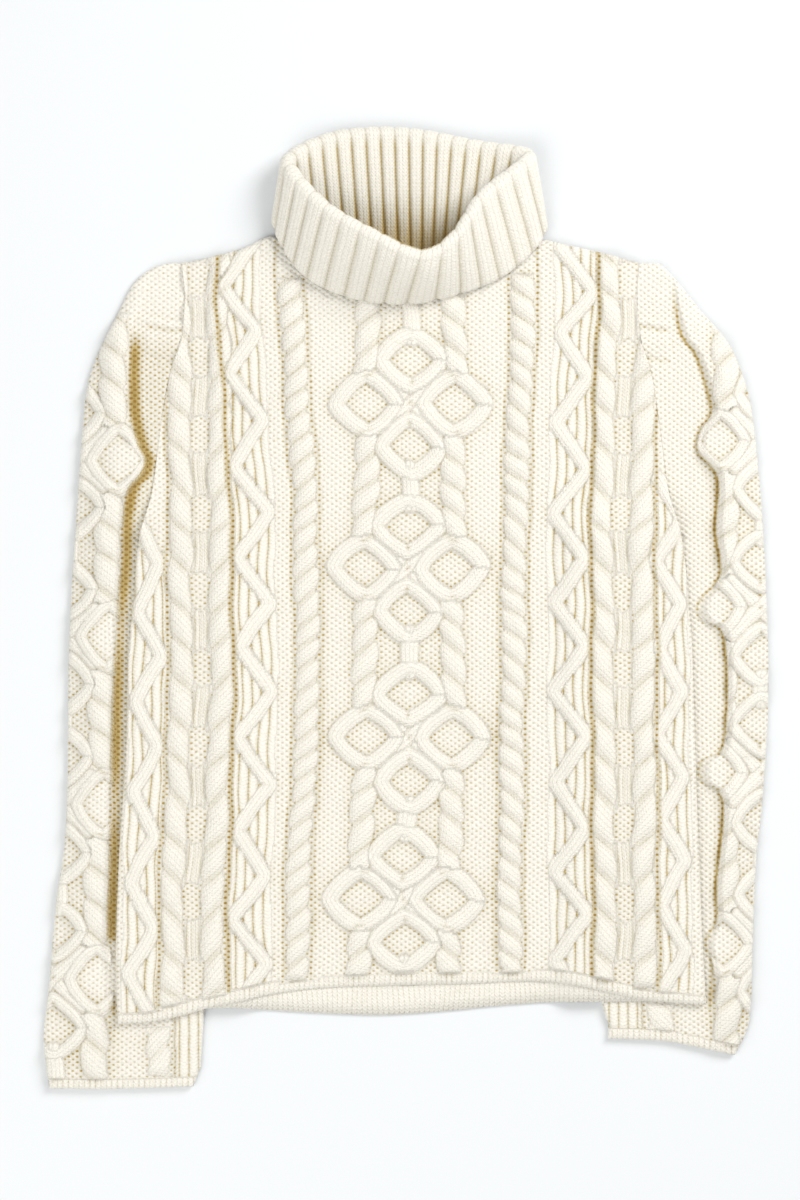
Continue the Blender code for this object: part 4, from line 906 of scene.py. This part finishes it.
def build_collar(wool):
    """Wide-ribbed collar, folded over on itself."""
    around = COLLAR_RIBS * RIB_POINTS
    even = np.arange(around) / RIB_POINTS
    place = even - 0.10 * np.sin(2.0 * np.pi * even)  # points gather at the grooves
    grid = collar_grid(collar_rows(collar_angles(place)))
    length = np.linalg.norm(np.diff(grid, axis=1), axis=2)
    v = np.concatenate([np.zeros((around, 1)), np.cumsum(length, axis=1)], axis=1)
    normal = np.cross(
        np.gradient(grid, axis=1), np.roll(grid, -1, axis=0) - np.roll(grid, 1, axis=0))
    normal /= np.linalg.norm(normal, axis=2)[:, :, None]

    off_groove = np.minimum(place % 1.0, 1.0 - place % 1.0)
    crest = 1.12 - np.exp(-(off_groove / 0.15) ** 2) - 0.12 * (off_groove / 0.5) ** 2
    middle = STAND_STEPS - 1 + ROLL_STEPS // 2
    rim_v = v[:, middle:middle + 1]
    off_rim = ramp((np.abs(v - rim_v) - 3.0) / 13.0)
    groove = (1.0 - crest)[:, None] * (0.3 + 0.7 * off_rim)
    outward = ramp((normal[:, :, 2] + 0.35) / 0.5)  # ribs are raised on the side in view
    rib = (1.0 - groove) * COLLAR_RIB_HIGH * outward
    lip = round_over(v[:, -1:] - v, 3.0)
    height = 0.5 * COLLAR_WALL * (0.3 + 0.7 * lip) + rib * lip - COLLAR_INSET
    outer = grid + normal * height[:, :, None]
    inner = grid - normal * (0.5 * COLLAR_WALL)
    for side in (outer, inner):
        side[:, :, 2] = np.maximum(side[:, :, 2], 0.0)

    count = grid.shape[1]
    total = around * count
    index = np.arange(total).reshape(around, count)
    nxt = np.roll(index, -1, axis=0)
    shown = np.stack([index[:, :-1], index[:, 1:], nxt[:, 1:], nxt[:, :-1]], -1).reshape(-1, 4)
    hidden = shown[:, ::-1] + total
    rim_a = np.stack([index[:, 0], nxt[:, 0], nxt[:, 0] + total, index[:, 0] + total], -1)
    rim_b = np.stack([index[:, -1], index[:, -1] + total, nxt[:, -1] + total, nxt[:, -1]], -1)
    faces = np.vstack([shown, hidden, rim_a, rim_b]).tolist()

    # Painted shade in the ribs' grooves, more on the standing side, and low inside the stand below
    # the front's rim.
    standing = v < rim_v
    pit = standing * ramp((DEEP_Y[0] - grid[:, :, 1]) / DEEP_Y[1])
    knit_values = np.ones((around, count, 3))
    knit_values[:, :, 0] = v
    knit_values[:, :, 1] = (place * COLLAR_PITCH)[:, None]
    shade = np.zeros((around, count, 3))
    shade[:, :, 0] = np.clip(groove * outward * (0.34 + 0.42 * standing) + 0.68 * pit, 0.0, 1.0)
    piece = add_piece(
        "collar_knit", np.vstack([outer.reshape(-1, 3), inner.reshape(-1, 3)]), faces,
        np.tile(knit_values.reshape(-1, 3), (2, 1)), np.tile(shade.reshape(-1, 3), (2, 1)),
        wool["wool_collar"], "wool_collar", "collar")


# ---- wool ----
def make_wool(name, seed):
    """Cream wool with stitches, fibres and painted warm shade between them."""
    material = bpy.data.materials.new(name)
    material.use_nodes = True
    tree = material.node_tree
    nodes, links = tree.nodes, tree.links
    shader = nodes["Principled BSDF"]

    def node(kind, **settings):
        item = nodes.new(kind)
        for key, value in settings.items():
            setattr(item, key, value)
        return item

    def math(operation, a, b=None, clamp=False):
        item = node("ShaderNodeMath", operation=operation, use_clamp=clamp)
        for socket, value in zip(item.inputs, (a, b)):
            if isinstance(value, (int, float)):
                socket.default_value = value
            elif value is not None:
                links.new(value, socket)
        return item.outputs[0]

    def add(a, b):
        return math("ADD", a, b)

    def times(a, b):
        return math("MULTIPLY", a, b)

    def split(socket):
        item = node("ShaderNodeSeparateXYZ")
        links.new(socket, item.inputs[0])
        return item.outputs

    knit = node("ShaderNodeAttribute", attribute_name="knit").outputs["Vector"]
    shade = node("ShaderNodeAttribute", attribute_name="shade").outputs["Vector"]
    place = node("ShaderNodeTexCoord").outputs["Object"]
    s, t, kind = split(knit)
    painted_shade, rib, line = split(shade)
    px, py, _ = split(place)

    # Purl bumps on a wandering grid.
    wander = node("ShaderNodeTexNoise", noise_dimensions="4D")
    wander.inputs["Scale"].default_value = 55.0
    wander.inputs["W"].default_value = seed
    links.new(place, wander.inputs["Vector"])
    wx, wy, _ = split(wander.outputs["Color"])
    off_x = times(math("SUBTRACT", wx, 0.5), 3.4)
    off_y = times(math("SUBTRACT", wy, 0.5), 2.4)
    gx = add(times(px, 1000.0), off_x)
    gy = add(times(py, 1000.0), off_y)
    purl = times(
        math("COSINE", times(gx, TURN / PURL_SIZE[0])),
        math("COSINE", times(gy, TURN / PURL_SIZE[1])))
    # Painted shade in the holes between purl bumps.
    hole = math("POWER", math("MAXIMUM", purl, 0.0), 1.35)

    # Knit stitches: two slanting legs in each wale, with a gap between the wales.
    wide = add(times(rib, RIB_WIDER), STITCH_ACROSS)
    wale = add(math("DIVIDE", add(t, times(off_x, 0.3)), wide), times(rib, 0.5))
    centre = math("SUBTRACT", math("FRACT", wale), 0.5)
    centre = times(math("ABSOLUTE", centre), 2.0)
    slant = math("SUBTRACT", math("DIVIDE", s, STITCH_UP), times(centre, 0.75))
    leg = math("COSINE", times(slant, TURN))
    between = math("POWER", centre, 5.0)
    leg_high = add(times(leg, 0.30), times(between, -0.8))
    # Painted shade in the gaps between wales and between stitches up a wale.
    gap = times(between, add(0.26, times(rib, 0.62)))
    under_leg = math("MAXIMUM", times(leg, -1.0), 0.0)
    knit_hole = add(gap, times(under_leg, 0.17))

    def either(purl_value, knit_value):
        item = node("ShaderNodeMix")
        for value, name in ((kind, "Factor"), (purl_value, "A"), (knit_value, "B")):
            links.new(value, item.inputs[name])
        return item.outputs[0]

    stitch_high = either(times(purl, -1.0), leg_high)
    stitch_hole = either(hole, knit_hole)
    fibre = node("ShaderNodeTexNoise")
    fibre.inputs["Scale"].default_value = 620.0
    fibre.inputs["Detail"].default_value = 4.0
    links.new(place, fibre.inputs["Vector"])
    fibre = fibre.outputs["Fac"]
    bump = node("ShaderNodeBump")
    bump.inputs["Strength"].default_value = 0.55
    bump.inputs["Distance"].default_value = 0.0009
    links.new(add(stitch_high, times(fibre, 1.5)), bump.inputs["Height"])
    links.new(bump.outputs[0], shader.inputs["Normal"])

    # Colour by painted shade in troughs, creases and holes between stitches, and by fibre tone.
    deep = times(painted_shade, add(times(stitch_hole, 0.85), 0.65))
    stitch = times(stitch_hole, add(0.10, times(fibre, 0.52)))
    fuzz = times(math("SUBTRACT", fibre, 0.42), 0.34)
    depth = math("ADD", add(deep, stitch), add(line, fuzz), clamp=True)
    colour = node("ShaderNodeValToRGB")
    stops = colour.color_ramp.elements
    for stop, (position, value) in zip(stops, (WOOL_AND_SHADE_COLOURS[0], WOOL_AND_SHADE_COLOURS[-1])):
        stop.position, stop.color = position, value
    for position, value in WOOL_AND_SHADE_COLOURS[1:-1]:
        stops.new(position).color = value
    links.new(depth, colour.inputs[0])
    links.new(colour.outputs[0], shader.inputs["Base Color"])
    shader.inputs["Roughness"].default_value = 0.92
    shader.inputs["Specular IOR Level"].default_value = 0.15
    shader.inputs["Sheen Weight"].default_value = 0.25
    shader.inputs["Sheen Roughness"].default_value = 0.6
    return material


wool = {name: make_wool(name, seed) for name, seed in (
    ("wool_body", 1.0), ("wool_sleeves", 2.0), ("wool_collar", 3.0))}
build_front(wool)
build_back(wool)
build_sleeve(
    "sleeve_left", -1, OUTER_LEFT, INNER_LEFT, CUFF_LEFT, CREASE_LEFT, SLEEVE_LEFT_GROUPS,
    LEFT_DETAILS, wool)
build_sleeve(
    "sleeve_right", 1, OUTER_RIGHT, INNER_RIGHT, CUFF_RIGHT, CREASE_RIGHT, SLEEVE_RIGHT_GROUPS,
    RIGHT_DETAILS, wool)
build_collar(wool)

camera_data = bpy.data.cameras.new("camera")
camera_data.sensor_fit = "VERTICAL"
camera_data.sensor_height = 36.0
camera_data.lens = camera_data.sensor_height * FOCUS_FAR / FRAME_TALL
camera = bpy.data.objects.new("camera", camera_data)
camera.location = CAMERA_PLACE
bpy.context.scene.collection.objects.link(camera)
bpy.context.scene.camera = camera

corners = [(x * FLOOR_HALF, y * FLOOR_HALF, 0) for x, y in ((-1, -1), (1, -1), (1, 1), (-1, 1))]
floor_mesh = bpy.data.meshes.new("floor")
floor_mesh.from_pydata(corners, [], [(0, 1, 2, 3)])
floor = bpy.data.objects.new("floor", floor_mesh)
paper = bpy.data.materials.new("paper")
paper.use_nodes = True
paper_shader = paper.node_tree.nodes["Principled BSDF"]
paper_shader.inputs["Base Color"].default_value = FLOOR_COLOUR
paper_shader.inputs["Roughness"].default_value = 0.9
floor_mesh.materials.append(paper)
bpy.context.scene.collection.objects.link(floor)

# Soft square lamps aimed at the middle of the sweater.
for name, place, size, power, colour in LIGHTS:
    data = bpy.data.lights.new(name, "AREA")
    data.size, data.energy, data.color = size, power, colour
    lamp = bpy.data.objects.new(name, data)
    lamp.location = place
    lamp.rotation_euler = (-Vector(place)).to_track_quat("-Z", "Y").to_euler()
    bpy.context.scene.collection.objects.link(lamp)
world = bpy.context.scene.world or bpy.data.worlds.new("world")
bpy.context.scene.world = world
world.use_nodes = True
for socket, value in zip(world.node_tree.nodes["Background"].inputs, SKY):
    socket.default_value = value
bpy.context.scene.view_settings.view_transform = "Standard"
